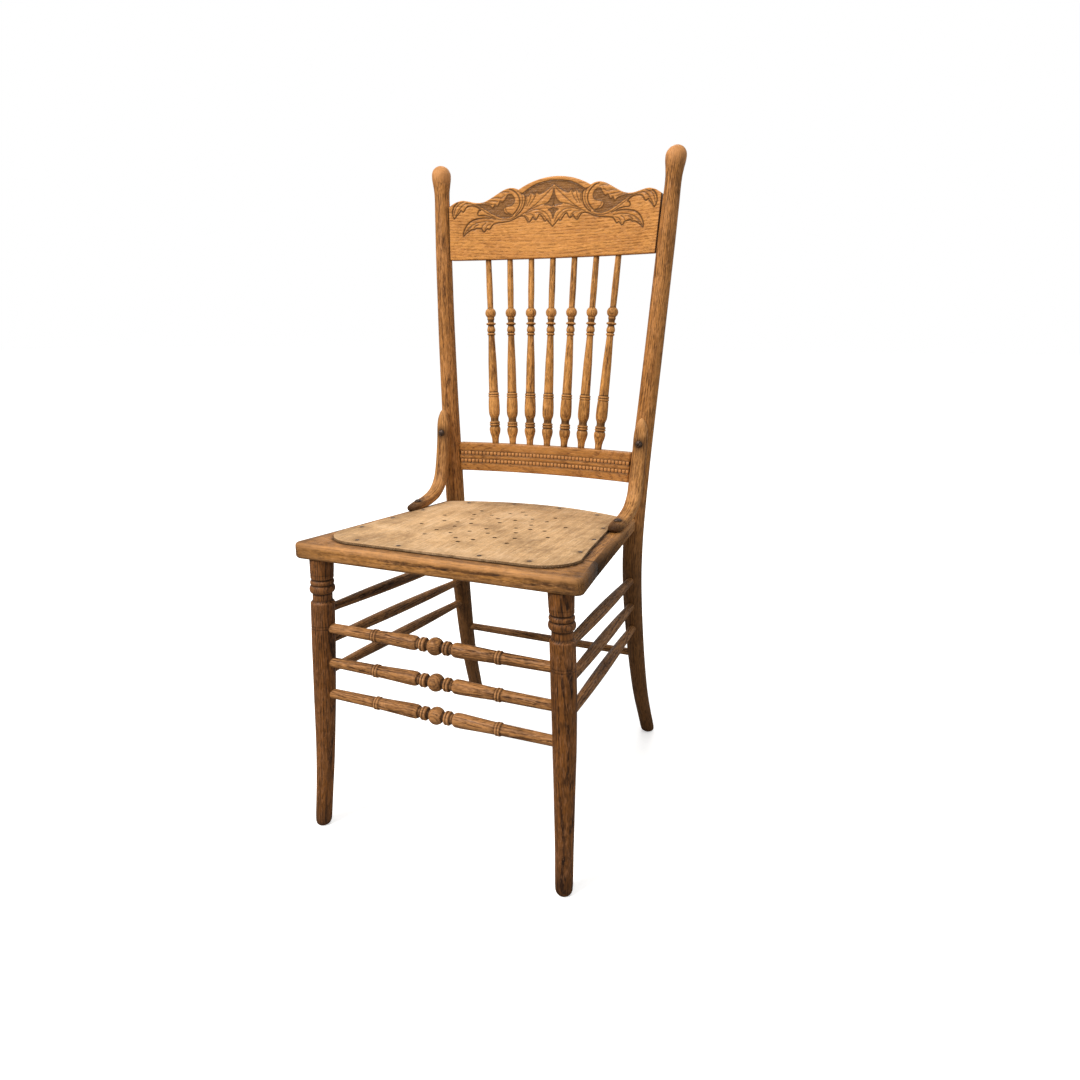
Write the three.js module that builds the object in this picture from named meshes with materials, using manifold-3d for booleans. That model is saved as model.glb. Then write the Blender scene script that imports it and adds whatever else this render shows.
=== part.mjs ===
// A pressed-back side chair in oak: bent back posts, turned legs, spindles and stretchers, bowed rails,
// a jointed seat frame with a perforated panel tacked on it, and two bent hip braces.
// Millimetres, +Z up, standing on z = 0 and facing -Y. While the chair is put together, y = 0 is the front
// edge of the seat; at the end it moves so that the origin is the middle of its footprint.
import * as THREE from "three";
import { mergeVertices } from "three/addons/utils/BufferGeometryUtils.js";
import Module from "manifold-3d";

const wasm = await Module();
wasm.setup();

// ---- Driving dimensions ---------------------------------------------------------------------------------

const gap = 0.3; // clearance left all round every joint
const seatHeight = 445; // top of the seat frame at its front edge
const seatSlope = 0.0157; // how much the seat falls for each millimetre towards the back
const frameThickness = 23;
const frontHalfWidth = 217;
const rearHalfWidth = 177;
const sideRailEnd = 368; // where the side rails meet the back posts
const panelThickness = 4;
const postTop = 1006;
const stretcherEndRadius = 6.5;
const spindleTenonRadius = 4.7;
const roundSides = 8; // facets of spindles, stretchers and dowels
const spindleCount = 7;
const railBow = 21; // how far the two back rails bow backwards at their middle
const tenonThickness = 8;

const oak = {
  frame: 0xa06a34,
  crest: 0xbf8643,
  leg: 0x5f3f23,
  stretcher: 0x7c5128,
  post: 0x9a6532,
  brace: 0xc09058,
};
const panelColour = 0xb89870;
const ironColour = 0x3a322c;
const ironMetalness = 0.8;

// ---- Curves and solids ----------------------------------------------------------------------------------

// A smooth function through [position, value] knots, with the knots in rising order.
function smoothThrough(knots) {
  const slopeAt = (i) => {
    const before = knots[Math.max(i - 1, 0)];
    const after = knots[Math.min(i + 1, knots.length - 1)];
    return (after[1] - before[1]) / (after[0] - before[0]);
  };
  return (position) => {
    let i = 0;
    while (i < knots.length - 2 && position > knots[i + 1][0]) i += 1;
    const [start, startValue] = knots[i];
    const [end, endValue] = knots[i + 1];
    const span = end - start;
    const t = (position - start) / span;
    return (
      startValue * (1 + 2 * t) * (1 - t) ** 2 +
      slopeAt(i) * span * t * (1 - t) ** 2 +
      endValue * t * t * (3 - 2 * t) +
      slopeAt(i + 1) * span * t * t * (t - 1)
    );
  };
}

// A closed geometry as a solid that can be cut and joined. Its doubles are merged, and one that a mirror has
// turned inside out is turned back.
function solidOf(geometry) {
  const bare = new THREE.BufferGeometry();
  bare.setAttribute("position", geometry.getAttribute("position").clone());
  if (geometry.index) bare.setIndex(geometry.index.clone());
  const merged = mergeVertices(bare, 1e-3);
  const at = merged.getAttribute("position");
  const corners = [0, 1, 2].map(() => new THREE.Vector3());
  const triangles = [];
  let volume = 0;
  for (let i = 0; i < merged.index.count; i += 3) {
    const triangle = [0, 1, 2].map((k) => merged.index.getX(i + k));
    if (new Set(triangle).size < 3) continue;
    triangle.forEach((vertex, k) => corners[k].fromBufferAttribute(at, vertex));
    volume += corners[0].dot(corners[1].clone().cross(corners[2]));
    triangles.push(triangle);
  }
  const outward = volume > 0 ? triangles : triangles.map(([a, b, c]) => [a, c, b]);
  return new wasm.Manifold(
    new wasm.Mesh({
      numProp: 3,
      vertProperties: new Float32Array(at.array),
      triVerts: new Uint32Array(outward.flat()),
    }),
  );
}

function geometryOf(solid) {
  const mesh = solid.getMesh();
  const geometry = new THREE.BufferGeometry();
  geometry.setAttribute("position", new THREE.BufferAttribute(new Float32Array(mesh.vertProperties), 3));
  geometry.setIndex(new THREE.BufferAttribute(new Uint32Array(mesh.triVerts), 1));
  geometry.computeVertexNormals();
  return geometry;
}

// Moves every vertex of a geometry to where the given function says.
function reshape(geometry, move) {
  const at = geometry.getAttribute("position");
  const point = new THREE.Vector3();
  for (let i = 0; i < at.count; i += 1) {
    move(point.fromBufferAttribute(at, i));
    at.setXYZ(i, point.x, point.y, point.z);
  }
  return geometry;
}

// A turned shape standing on +Z from [height, radius] steps, closed on its axis at both ends.
function turned(steps, sides, extra = 0) {
  const points = steps.map(([height, radius]) => new THREE.Vector2(radius + extra, height));
  points.unshift(new THREE.Vector2(0, steps[0][0]));
  points.push(new THREE.Vector2(0, steps[steps.length - 1][0]));
  return new THREE.LatheGeometry(points, sides).rotateX(Math.PI / 2);
}

const zAxis = new THREE.Vector3(0, 0, 1);

function turnTowards(from, to) {
  return new THREE.Quaternion().setFromUnitVectors(zAxis, to.clone().sub(from).normalize());
}

// A round cutter from one point to another, wide enough to clear a round tenon of the given radius.
function bore(from, to, radius, sides = 10) {
  const clearRadius = (radius + gap) / Math.cos(Math.PI / sides);
  const length = from.distanceTo(to) + 2 * gap;
  const geometry = new THREE.CylinderGeometry(clearRadius, clearRadius, length, sides).rotateX(Math.PI / 2);
  const middle = from.clone().add(to).multiplyScalar(0.5);
  const placed = new THREE.Matrix4().compose(middle, turnTowards(from, to), new THREE.Vector3(1, 1, 1));
  return solidOf(geometry.applyMatrix4(placed));
}

const chair = new THREE.Group();

function addPiece(name, geometry, colour, parent = chair) {
  const material = new THREE.MeshStandardMaterial({ color: colour, roughness: 0.6, metalness: 0 });
  const mesh = new THREE.Mesh(geometry, material);
  mesh.name = name;
  parent.add(mesh);
  return mesh;
}

// Cuts solids that are given in the chair's own coordinates out of a placed mesh.
function cut(mesh, cutters) {
  mesh.updateWorldMatrix(true, false);
  const toMesh = mesh.matrixWorld.clone().invert().elements;
  let solid = solidOf(mesh.geometry);
  for (const cutter of cutters) solid = solid.subtract(cutter.transform(toMesh));
  mesh.geometry = geometryOf(solid);
}

function mirroredPoint(point) {
  return new THREE.Vector3(-point.x, point.y, point.z);
}

// ---- Back posts and front legs: turned straight, then bent ----------------------------------------------

const postSides = 10;
const postX = smoothThrough([[0, 182], [110, 174.5], [330, 167], [445, 170], [720, 187.5], [postTop, 204]]);
const postY = smoothThrough([
  [0, 485.5], [110, 440], [220, 411], [330, 392.5], [445, 387.5], [720, 403.5], [postTop, 427],
]);
const postRadii = [
  [0, 7.5], [2.5, 10.5], [9, 12], [45, 12.5], [95, 13.2], [150, 14], [215, 15.1], [285, 15.9], [365, 16.5],
  [445, 16.5], [520, 15.8], [620, 14.8], [740, 14.2], [860, 13.7], [925, 13], [953, 12.5], [968, 13.4],
  [980, 15.3], [989, 16.1], [997, 15.2], [1003, 11.6], [postTop, 5],
];

const legX = smoothThrough([[0, 198.5], [110, 194], [260, 189.3], [440, 181.5]]);
const legY = smoothThrough([[0, 2], [110, 12], [260, 18.5], [440, 20.5]]);
const legShoulder = 421; // top of the leg, just under the front rail
const legTenonRadius = 11;
const legTenonTop = legShoulder + 18;
const legRadii = [
  [0, 7], [2.5, 10], [9, 12], [60, 12.6], [130, 14], [200, 15.7], [290, 16.9], [356, 16.1], [360, 16.1],
  [363, 13.9], [369, 13.9], [372, 16.6], [376.5, 17.6], [381, 16.6], [384, 13.9], [387, 13.7], [389, 15.2],
  [404, 15.6], [417, 17.1], [legShoulder, 17.1], [legShoulder, legTenonRadius], [legTenonTop, legTenonRadius],
];

// Bends a turned piece so that its axis follows x(z), y(z). Where it slants it keeps its thickness.
function bent(geometry, axisX, axisY) {
  const step = 1;
  return reshape(geometry, (point) => {
    const slope = (axisY(point.z + step) - axisY(point.z - step)) / (2 * step);
    point.x += axisX(point.z);
    point.y = point.y * Math.hypot(1, slope) + axisY(point.z);
  });
}

const postShape = (extra) => bent(turned(postRadii, postSides, extra), postX, postY);
const legShape = () => bent(turned(legRadii, postSides), legX, legY);
const mirrored = (geometry) => reshape(geometry, (point) => point.setX(-point.x));

const postAt = (height) => new THREE.Vector3(postX(height), postY(height), height);
const legAt = (height) => new THREE.Vector3(legX(height), legY(height), height);

const posts = {
  right: addPiece("back_post_right", geometryOf(solidOf(postShape(0))), oak.post),
  left: addPiece("back_post_left", geometryOf(solidOf(mirrored(postShape(0)))), oak.post),
};
const legs = {
  right: addPiece("front_leg_right", geometryOf(solidOf(legShape())), oak.leg),
  left: addPiece("front_leg_left", geometryOf(solidOf(mirrored(legShape()))), oak.leg),
};

// Each post and leg collects its cutters here, and is cut once when all its neighbours are known.
const postCuts = { right: [], left: [] };
const legCuts = { right: [], left: [] };

// ---- Stretchers -----------------------------------------------------------------------------------------

const tenonShort = 3; // a stretcher stops this far short of the middle of the leg it enters

// Places a turned piece, made about its own middle along +Z, between two points.
function spanning(name, shapeFor, from, to, colour) {
  const length = from.distanceTo(to);
  const mesh = addPiece(name, geometryOf(solidOf(shapeFor(length))), colour);
  mesh.position.copy(from).add(to).multiplyScalar(0.5);
  mesh.quaternion.copy(turnTowards(from, to));
  return mesh;
}

function pulledIn(from, to, amount) {
  return from.clone().add(to.clone().sub(from).setLength(amount));
}

// The plain stretchers swell a little towards their middle, between two straight ends.
const swellEnd = 0.82; // share of the half length
const swellShoulder = 0.45;

function barrelShape(middleRadius) {
  return (length) => {
    const half = length / 2;
    const steps = [-1, -swellEnd, -swellShoulder, 0, swellShoulder, swellEnd, 1].map((share) => {
      const swell = Math.max(0, 1 - (share / swellEnd) ** 2);
      return [share * half, stretcherEndRadius + (middleRadius - stretcherEndRadius) * swell];
    });
    return turned(steps, roundSides);
  };
}

// The front stretchers carry a ball between rings at the middle and a double ring halfway along each side.
const frontTenonLength = 20;

function ballTurnedShape(length) {
  const half = length / 2;
  const side = [
    [3.5, 12.2], [8, 9.6], [10.5, 6.6], [14, 6.6], [16, 9.4], [21, 9.6], [26, 8.2], [30, 9.7], [92, 7.9],
    [94, 8.6], [98, 8.6], [100, 7.6],
    [half - frontTenonLength, stretcherEndRadius], [half, stretcherEndRadius],
  ];
  const otherSide = side.map(([height, radius]) => [-height, radius]).reverse();
  return turned([...otherSide, ...side], roundSides);
}

function addStretcher(name, shapeFor, from, to, colour, cutsAtEnds) {
  const start = pulledIn(from, to, tenonShort);
  const end = pulledIn(to, from, tenonShort);
  spanning(name, shapeFor, start, end, colour);
  const cutter = bore(start, end, stretcherEndRadius);
  cutsAtEnds.forEach((cuts) => cuts.push(cutter));
}

const levels = ["top", "middle", "bottom"];
const frontStretcherHeights = [317, 264, 214.5];
const sideStretcherFrontHeights = [342, 293, 245];
const sideStretcherRearHeights = [326, 279, 236];
const rearStretcherHeight = 181;
const sideBarrelRadius = 8;
const rearBarrelRadius = 7;

levels.forEach((level, i) => {
  const right = legAt(frontStretcherHeights[i]);
  const bothLegs = [legCuts.left, legCuts.right];
  const left = mirroredPoint(right);
  addStretcher(`front_stretcher_${level}`, ballTurnedShape, left, right, oak.stretcher, bothLegs);

  const front = legAt(sideStretcherFrontHeights[i]);
  const rear = postAt(sideStretcherRearHeights[i]);
  const shape = barrelShape(sideBarrelRadius);
  const cutsRight = [legCuts.right, postCuts.right];
  const cutsLeft = [legCuts.left, postCuts.left];
  addStretcher(`side_stretcher_right_${level}`, shape, front, rear, oak.stretcher, cutsRight);
  addStretcher(
    `side_stretcher_left_${level}`, shape, mirroredPoint(front), mirroredPoint(rear), oak.stretcher, cutsLeft,
  );
});

const rearRight = postAt(rearStretcherHeight);
addStretcher(
  "rear_stretcher", barrelShape(rearBarrelRadius), mirroredPoint(rearRight), rearRight, oak.stretcher,
  [postCuts.left, postCuts.right],
);

// ---- Crest rail and lower back rail: bowed boards with flat tenons --------------------------------------

// A rail's shoulder and tenon end are measured from the axis of the post that it enters.
const crest = { bottom: 852, shoulder: 14.4, thickness: 16, columns: 60, tenonLow: 862, tenonHigh: 926 };
const lowerRail = {
  bottom: 493,
  top: 542,
  shoulder: 16.6,
  thickness: 17,
  columns: 20,
  tenonLow: 500,
  tenonHigh: 535,
};
const tenonEnd = 1.5;

// Height of the crest's top above its bottom edge: an arch in the middle, a scroll and an end curl beside it.
const archHalfWidth = 61;
const archRadius = 118;
const archTop = 126.5;
const scrollTop = smoothThrough([
  [61, 109.5], [69, 112.4], [77, 112.8], [88, 109.5], [107, 99], [120, 93], [133, 91.8], [146, 94.4],
  [158, 96.2], [170, 93], [184, 84],
]);

function crestTopAt(x) {
  const across = Math.abs(x);
  if (across < archHalfWidth) return archTop - archRadius + Math.sqrt(archRadius ** 2 - across ** 2);
  return scrollTop(across);
}

const bowAt = (x, z) => railBow * (1 - (x / postX(z)) ** 2);

// A board between the posts whose middle surface follows their lean and bows backwards.
function bowedBoard({ shoulder, thickness, columns, bottom, heightAt }) {
  const board = new THREE.BoxGeometry(2, thickness, 1, columns, 1, 1);
  const reach = postX(bottom) - shoulder;
  return reshape(board, (point) => {
    const share = point.x;
    point.z = point.z > 0 ? bottom + heightAt(share * reach) : bottom;
    point.x = share * (postX(point.z) - shoulder);
    point.y += postY(point.z) + bowAt(point.x, point.z);
  });
}

// The bar that shows at both ends of a rail as its flat tenons; extra makes it the cutter of their mortises.
function tenonBar(rail, extra) {
  return bowedBoard({
    shoulder: tenonEnd - extra,
    thickness: tenonThickness + 2 * extra,
    columns: rail.columns,
    bottom: rail.tenonLow - extra,
    heightAt: () => rail.tenonHigh - rail.tenonLow + 2 * extra,
  });
}

function addBackRail(name, rail, heightAt, colour) {
  const board = solidOf(bowedBoard({ ...rail, heightAt }));
  const mortises = solidOf(tenonBar(rail, gap));
  postCuts.left.push(mortises);
  postCuts.right.push(mortises);
  return addPiece(name, geometryOf(board.add(solidOf(tenonBar(rail, 0)))), colour);
}

const crestRail = addBackRail("crest_rail", crest, crestTopAt, oak.crest);
const lowerRailHeight = lowerRail.top - lowerRail.bottom;
const lowerBackRail = addBackRail("lower_back_rail", lowerRail, () => lowerRailHeight, oak.post);

// ---- Spindles -------------------------------------------------------------------------------------------

const spindleSpacingLow = 32;
const spindleSpacingHigh = 38.7;
const spindleTenonDepth = 14;
const spindleSteps = [
  [10, 5], [17, 6.8], [27, 9.3], [39, 8.4], [42, 6], [46, 6], [51, 8.6], [66, 9.6], [81, 9], [84, 8.2],
  [94, 8.2], [140, 7.1], [185, 5.6], [189, 7], [197, 7.6], [205, 5], [208, 8.2], [212, 6], [217, 8.1],
  [223, 9.3], [229, 8.1], [234, 5.2],
];

function spindleShape(length) {
  const bottom = -length / 2;
  const railTop = bottom + spindleTenonDepth;
  const steps = spindleSteps.map(([height, radius]) => [railTop + height, radius]);
  return turned([[bottom, spindleTenonRadius], ...steps, [length / 2, spindleTenonRadius]], roundSides);
}

const backRailCuts = [];
for (let i = 0; i < spindleCount; i += 1) {
  const place = i - (spindleCount - 1) / 2;
  const lowX = place * spindleSpacingLow;
  const highX = place * spindleSpacingHigh;
  const low = new THREE.Vector3(lowX, postY(lowerRail.top) + bowAt(lowX, lowerRail.top), lowerRail.top);
  const high = new THREE.Vector3(highX, postY(crest.bottom) + bowAt(highX, crest.bottom), crest.bottom);
  const start = pulledIn(low, high, -spindleTenonDepth);
  const end = pulledIn(high, low, -spindleTenonDepth);
  spanning(`spindle_${i + 1}`, spindleShape, start, end, oak.crest);
  backRailCuts.push(bore(start, end, spindleTenonRadius, roundSides));
}
cut(crestRail, backRailCuts);
cut(lowerBackRail, backRailCuts);

// ---- Seat frame: one bullnosed outline divided into four rails ------------------------------------------

// Everything on the seat lies in this group, whose XY plane is the top of the seat frame.
const seat = new THREE.Group();
seat.position.z = seatHeight;
seat.rotation.x = -Math.atan(seatSlope);
chair.add(seat);

const frontRailDepth = 86;
const sideRailWidth = 58;
const seatCornerRadius = 15;
const seatCornerTurn = Math.PI / 3; // how far round each front corner its curve goes
const seatRearBulge = 386; // the frame's rear edge at its middle
const rearCornerWidth = 25; // the straight part of the rear edge behind each side rail
const rearCornerStep = 6; // how far in front of that the arch begins
const noseRadius = 5;

const sideEdgeAt = (y) => frontHalfWidth - ((frontHalfWidth - rearHalfWidth) * y) / sideRailEnd;

// Half of a symmetric outline as points, closed with its mirror image.
function symmetricShape(half) {
  const other = half.map((point) => new THREE.Vector2(-point.x, point.y)).reverse();
  return new THREE.Shape([...half, ...other]);
}

function cornerArc(centreX, centreY, radius, fromAngle, toAngle, steps) {
  return Array.from({ length: steps + 1 }, (_, i) => {
    const angle = fromAngle + ((toAngle - fromAngle) * i) / steps;
    return new THREE.Vector2(centreX + radius * Math.cos(angle), centreY + radius * Math.sin(angle));
  });
}

// The rear edge of the frame and of the panel: a shallow arch from (halfWidth, sideY) back to (0, middleY).
function rearArch(halfWidth, sideY, middleY, steps) {
  return Array.from({ length: steps }, (_, i) => {
    const share = 1 - (i + 1) / (steps + 0.5);
    return new THREE.Vector2(halfWidth * share, middleY - (middleY - sideY) * share ** 2);
  });
}

const outer = symmetricShape([
  new THREE.Vector2(frontHalfWidth - noseRadius - seatCornerRadius, noseRadius),
  ...cornerArc(
    frontHalfWidth - noseRadius - seatCornerRadius, noseRadius + seatCornerRadius, seatCornerRadius,
    -seatCornerTurn, 0, 3,
  ),
  new THREE.Vector2(rearHalfWidth - noseRadius, sideRailEnd - noseRadius),
  new THREE.Vector2(rearHalfWidth - rearCornerWidth, sideRailEnd - noseRadius),
  ...rearArch(
    rearHalfWidth - rearCornerWidth, sideRailEnd - noseRadius - rearCornerStep, seatRearBulge - noseRadius, 3,
  ),
]);
const frameBlank = new THREE.ExtrudeGeometry(outer, {
  depth: frameThickness - 2 * noseRadius,
  bevelThickness: noseRadius,
  bevelSize: noseRadius,
  bevelSegments: 3,
}).translate(0, 0, noseRadius - frameThickness);

const openingFront = frontRailDepth;
const openingRear = 316;
const openingCutter = new THREE.ExtrudeGeometry(
  symmetricShape([
    new THREE.Vector2(sideEdgeAt(openingFront) - sideRailWidth, openingFront),
    new THREE.Vector2(sideEdgeAt(openingRear) - sideRailWidth, openingRear),
  ]),
  { depth: 3 * frameThickness, bevelEnabled: false },
).translate(0, 0, -2 * frameThickness);

// Areas of the frame, each a prism that picks one rail out of the blank.
function area(corners) {
  const shape = new THREE.Shape(corners.map(([x, y]) => new THREE.Vector2(x, y)));
  const prism = new THREE.ExtrudeGeometry(shape, { depth: 3 * frameThickness, bevelEnabled: false });
  return solidOf(prism.translate(0, 0, -2 * frameThickness));
}

const wide = frontHalfWidth + 20;
const deep = seatRearBulge + 20;
const sideInnerFront = sideEdgeAt(frontRailDepth) - sideRailWidth;
const sideInnerRear = sideEdgeAt(deep) - sideRailWidth;
const railAreas = {
  seat_front_rail: [[-wide, -20], [wide, -20], [wide, frontRailDepth], [-wide, frontRailDepth]],
  seat_side_rail_right: [
    [sideInnerFront, frontRailDepth + gap], [wide, frontRailDepth + gap],
    [wide, deep], [sideInnerRear, deep],
  ],
  seat_side_rail_left: [
    [-wide, frontRailDepth + gap], [-sideInnerFront, frontRailDepth + gap],
    [-sideInnerRear, deep], [-wide, deep],
  ],
  seat_back_rail: [
    [-sideInnerFront + gap, frontRailDepth + gap], [sideInnerFront - gap, frontRailDepth + gap],
    [sideInnerRear - gap, deep], [-sideInnerRear + gap, deep],
  ],
};

const openFrame = solidOf(frameBlank).subtract(solidOf(openingCutter));
const rails = {};
for (const [name, corners] of Object.entries(railAreas)) {
  rails[name] = addPiece(name, geometryOf(openFrame.intersect(area(corners))), oak.frame, seat);
}

chair.updateMatrixWorld(true);
const onSeat = (x, y, z) => seat.localToWorld(new THREE.Vector3(x, y, z));

// The side rails end in a hollow that fits round the posts.
cut(rails.seat_side_rail_right, [solidOf(postShape(gap))]);
cut(rails.seat_side_rail_left, [solidOf(mirrored(postShape(gap)))]);

// The front legs' round tenons go up into the front rail.
const tenonCutterSteps = [[legShoulder - 6, legTenonRadius + gap], [legTenonTop + gap, legTenonRadius + gap]];
const legMortise = () => bent(turned(tenonCutterSteps, postSides), legX, legY);
cut(rails.seat_front_rail, [solidOf(legMortise()), solidOf(mirrored(legMortise()))]);

// ---- Dowels: two in each corner joint of the seat frame -------------------------------------------------

const dowelRadius = 5;
const dowelLength = 44;
const dowelDepth = -frameThickness / 2;
const dowelOffset = 13; // from the middle of the side rail
const dowelChamfer = { length: 2, depth: 1 };
const sideRailMiddle = sideEdgeAt(frontRailDepth) - sideRailWidth / 2;
const sideDowels = [-dowelOffset, dowelOffset].map((offset) => ({
  middle: new THREE.Vector3(sideRailMiddle + offset, frontRailDepth, dowelDepth),
  along: new THREE.Vector3(0, 1, 0),
  joins: ["seat_front_rail", "seat_side_rail"],
}));
const backDowels = [332, 354].map((y) => ({
  middle: new THREE.Vector3(sideEdgeAt(y) - sideRailWidth, y, dowelDepth),
  along: new THREE.Vector3(1, 0, 0),
  joins: ["seat_back_rail", "seat_side_rail"],
}));

function dowelShape(length) {
  const half = length / 2;
  const endRadius = dowelRadius - dowelChamfer.depth;
  const steps = [
    [-half, endRadius], [dowelChamfer.length - half, dowelRadius],
    [half - dowelChamfer.length, dowelRadius], [half, endRadius],
  ];
  return turned(steps, roundSides);
}

let dowelNumber = 0;
for (const side of ["right", "left"]) {
  for (const { middle, along, joins } of [...sideDowels, ...backDowels]) {
    dowelNumber += 1;
    const start = middle.clone().addScaledVector(along, -dowelLength / 2);
    const end = middle.clone().addScaledVector(along, dowelLength / 2);
    const ends = side === "right" ? [start, end] : [mirroredPoint(start), mirroredPoint(end)];
    const [from, to] = ends.map((point) => seat.localToWorld(point));
    spanning(`frame_dowel_${dowelNumber}`, dowelShape, from, to, oak.brace);
    const cutter = bore(from, to, dowelRadius, roundSides);
    for (const rail of joins) {
      const key = rail === "seat_side_rail" ? `${rail}_${side}` : rail;
      cut(rails[key], [cutter]);
    }
  }
}

// ---- Seat panel and its tacks ---------------------------------------------------------------------------

const panel = { frontY: 23, sideX: 190, rearX: 157, rearY: 345, bulgeY: 384, cornerRadius: 56 };
const panelCornerEnd = -0.12; // the angle at which a front corner runs into the side
const panelRearCorner = { before: 8, behind: 4, across: 7 };
const panelLift = gap;

const panelHalf = [
  ...cornerArc(panel.sideX - panel.cornerRadius, panel.frontY + panel.cornerRadius, panel.cornerRadius,
    -Math.PI / 2, panelCornerEnd, 6),
  new THREE.Vector2(panel.rearX, panel.rearY - panelRearCorner.before),
  new THREE.Vector2(panel.rearX - panelRearCorner.across, panel.rearY + panelRearCorner.behind),
  ...rearArch(
    panel.rearX - 2 * panelRearCorner.across, panel.rearY + 2 * panelRearCorner.behind - 1, panel.bulgeY, 4,
  ),
];
const panelShape = symmetricShape(panelHalf);

// Perforations: a four-fold rosette given by one quarter of it and repeated by mirroring.
const perforationRadius = 2.4;
const rosetteCentre = new THREE.Vector2(0, 200);
const rosetteQuarter = [
  [0, 23], [0, 111], [38, 0], [62, 0], [85, 0], [15, 48],
  [14, 92], [36, 68], [51, 28], [64, 60], [66, 91], [105, 35],
];
for (const [x, y] of rosetteQuarter) {
  for (const sideX of x === 0 ? [1] : [1, -1]) {
    for (const sideY of y === 0 ? [1] : [1, -1]) {
      const hole = new THREE.Path();
      const centreX = rosetteCentre.x + sideX * x;
      const centreY = rosetteCentre.y + sideY * y;
      hole.absarc(centreX, centreY, perforationRadius, 0, 2 * Math.PI);
      panelShape.holes.push(hole);
    }
  }
}
const perforated = new THREE.ExtrudeGeometry(panelShape, {
  depth: panelThickness, bevelEnabled: false, curveSegments: 3,
}).translate(0, 0, panelLift);
const seatPanel = addPiece("seat_panel", geometryOf(solidOf(perforated)), panelColour, seat);

const tack = {
  headRadius: 3.4,
  headThickness: 0.8,
  headChamfer: 0.4,
  shankRadius: 1.2,
  pointRadius: 0.3,
  pointLength: 4,
  length: 14,
  sides: 6,
};
const tackPlaces = [[62, 34], [132, 37], [175, 108], [169, 182], [158, 256], [118, 343], [42, 368]];
const panelTop = panelLift + panelThickness;
const tackSteps = [
  [-tack.length, tack.pointRadius], [tack.pointLength - tack.length, tack.shankRadius],
  [-tack.headThickness, tack.shankRadius], [-tack.headThickness, tack.headRadius],
  [0, tack.headRadius - tack.headChamfer],
];
const panelCuts = [];
const frameCuts = [];
let tackNumber = 0;
for (const side of [1, -1]) {
  for (const [x, y] of tackPlaces) {
    tackNumber += 1;
    const shape = geometryOf(solidOf(turned(tackSteps, tack.sides)));
    const mesh = addPiece(`seat_tack_${tackNumber}`, shape, ironColour, seat);
    mesh.position.set(side * x, y, panelTop - gap / 2);
    mesh.material.metalness = ironMetalness;
    const head = onSeat(side * x, y, panelTop + 1);
    const headSeat = onSeat(side * x, y, panelTop - tack.headThickness);
    const point = onSeat(side * x, y, panelTop - tack.length - gap);
    panelCuts.push(bore(headSeat, head, tack.headRadius, tack.sides));
    panelCuts.push(bore(point, headSeat, tack.shankRadius, tack.sides));
    frameCuts.push(bore(point, headSeat, tack.shankRadius, tack.sides));
  }
}
cut(seatPanel, panelCuts);
Object.values(rails).forEach((rail) => cut(rail, frameCuts));

// ---- Hip braces: bent bars from the posts to the side rails ---------------------------------------------

const braceWidth = 20;
const braceSides = 10;
const braceStations = 14;
const bracePath = new THREE.CatmullRomCurve3(
  [
    [176, 246, 446.6], [176.2, 272, 449.2], [176.8, 303, 452.6], [177.4, 331, 462], [178, 350, 481],
    [178.6, 360, 510], [179.2, 366.6, 545], [179.8, 369.6, 578], [180.2, 372, 601],
  ].map((point) => new THREE.Vector3(...point)),
  false, "centripetal",
);
const braceThickness = smoothThrough([[0, 7], [0.1, 12.5], [0.3, 15.5], [0.6, 16.5], [0.9, 14], [1, 12]]);
const braceTaper = smoothThrough([[0, 0.72], [0.06, 0.96], [0.14, 1], [0.84, 1], [0.93, 0.86], [1, 0.3]]);

// A bar along the path with a rounded section, wide across the chair and thin in the plane of its bend.
function braceShape() {
  const bar = new THREE.CylinderGeometry(1, 1, 1, braceSides, braceStations).rotateX(Math.PI / 2);
  const across = new THREE.Vector3(1, 0, 0);
  return reshape(bar, (point) => {
    const share = point.z + 0.5;
    const along = bracePath.getTangentAt(share);
    const outwards = new THREE.Vector3().crossVectors(along, across);
    const halfWidth = (braceWidth / 2) * braceTaper(share) * point.x;
    const halfThickness = (braceThickness(share) / 2) * point.y;
    point.copy(bracePath.getPointAt(share));
    point.addScaledVector(across, halfWidth).addScaledVector(outwards, halfThickness);
  });
}

const roundHead = { radius: 4.4, rise: 2.8, shank: 2.1, pointRadius: 0.4, pointLength: 8, sides: 8 };

// A round-head wood screw whose head rests at its own z = 0, its shank pointing down.
function screwSteps(length) {
  return [
    [-length, roundHead.pointRadius], [roundHead.pointLength - length, roundHead.shank],
    [0, roundHead.shank], [0, roundHead.radius],
    [roundHead.rise * 0.6, roundHead.radius * 0.8], [roundHead.rise, roundHead.radius * 0.25],
  ];
}

// Puts a screw with its head at one point and its shank towards another, and returns its cutter.
function addScrew(name, headAt, towards, length) {
  const mesh = addPiece(name, geometryOf(solidOf(turned(screwSteps(length), roundHead.sides))), ironColour);
  mesh.material.metalness = ironMetalness;
  mesh.position.copy(headAt);
  mesh.quaternion.copy(turnTowards(towards, headAt));
  const outside = pulledIn(headAt, towards, -2 * roundHead.rise);
  const shank = bore(pulledIn(headAt, towards, length + gap), headAt, roundHead.shank, roundHead.sides);
  const head = bore(pulledIn(headAt, towards, 0), outside, roundHead.radius, roundHead.sides);
  return shank.add(head);
}

// Each screw goes from its head towards a point inside the wood.
const braceTopScrew = { head: [179.5, 363.5, 561], towards: [178, 395, 560], length: 34 };
const braceFootScrew = { head: [176.2, 270, 454], towards: [176.2, 271, 440], length: 28 };
const postScrew = { head: [170, 402, 428], towards: [168, 340, 428], length: 62 };

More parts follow.
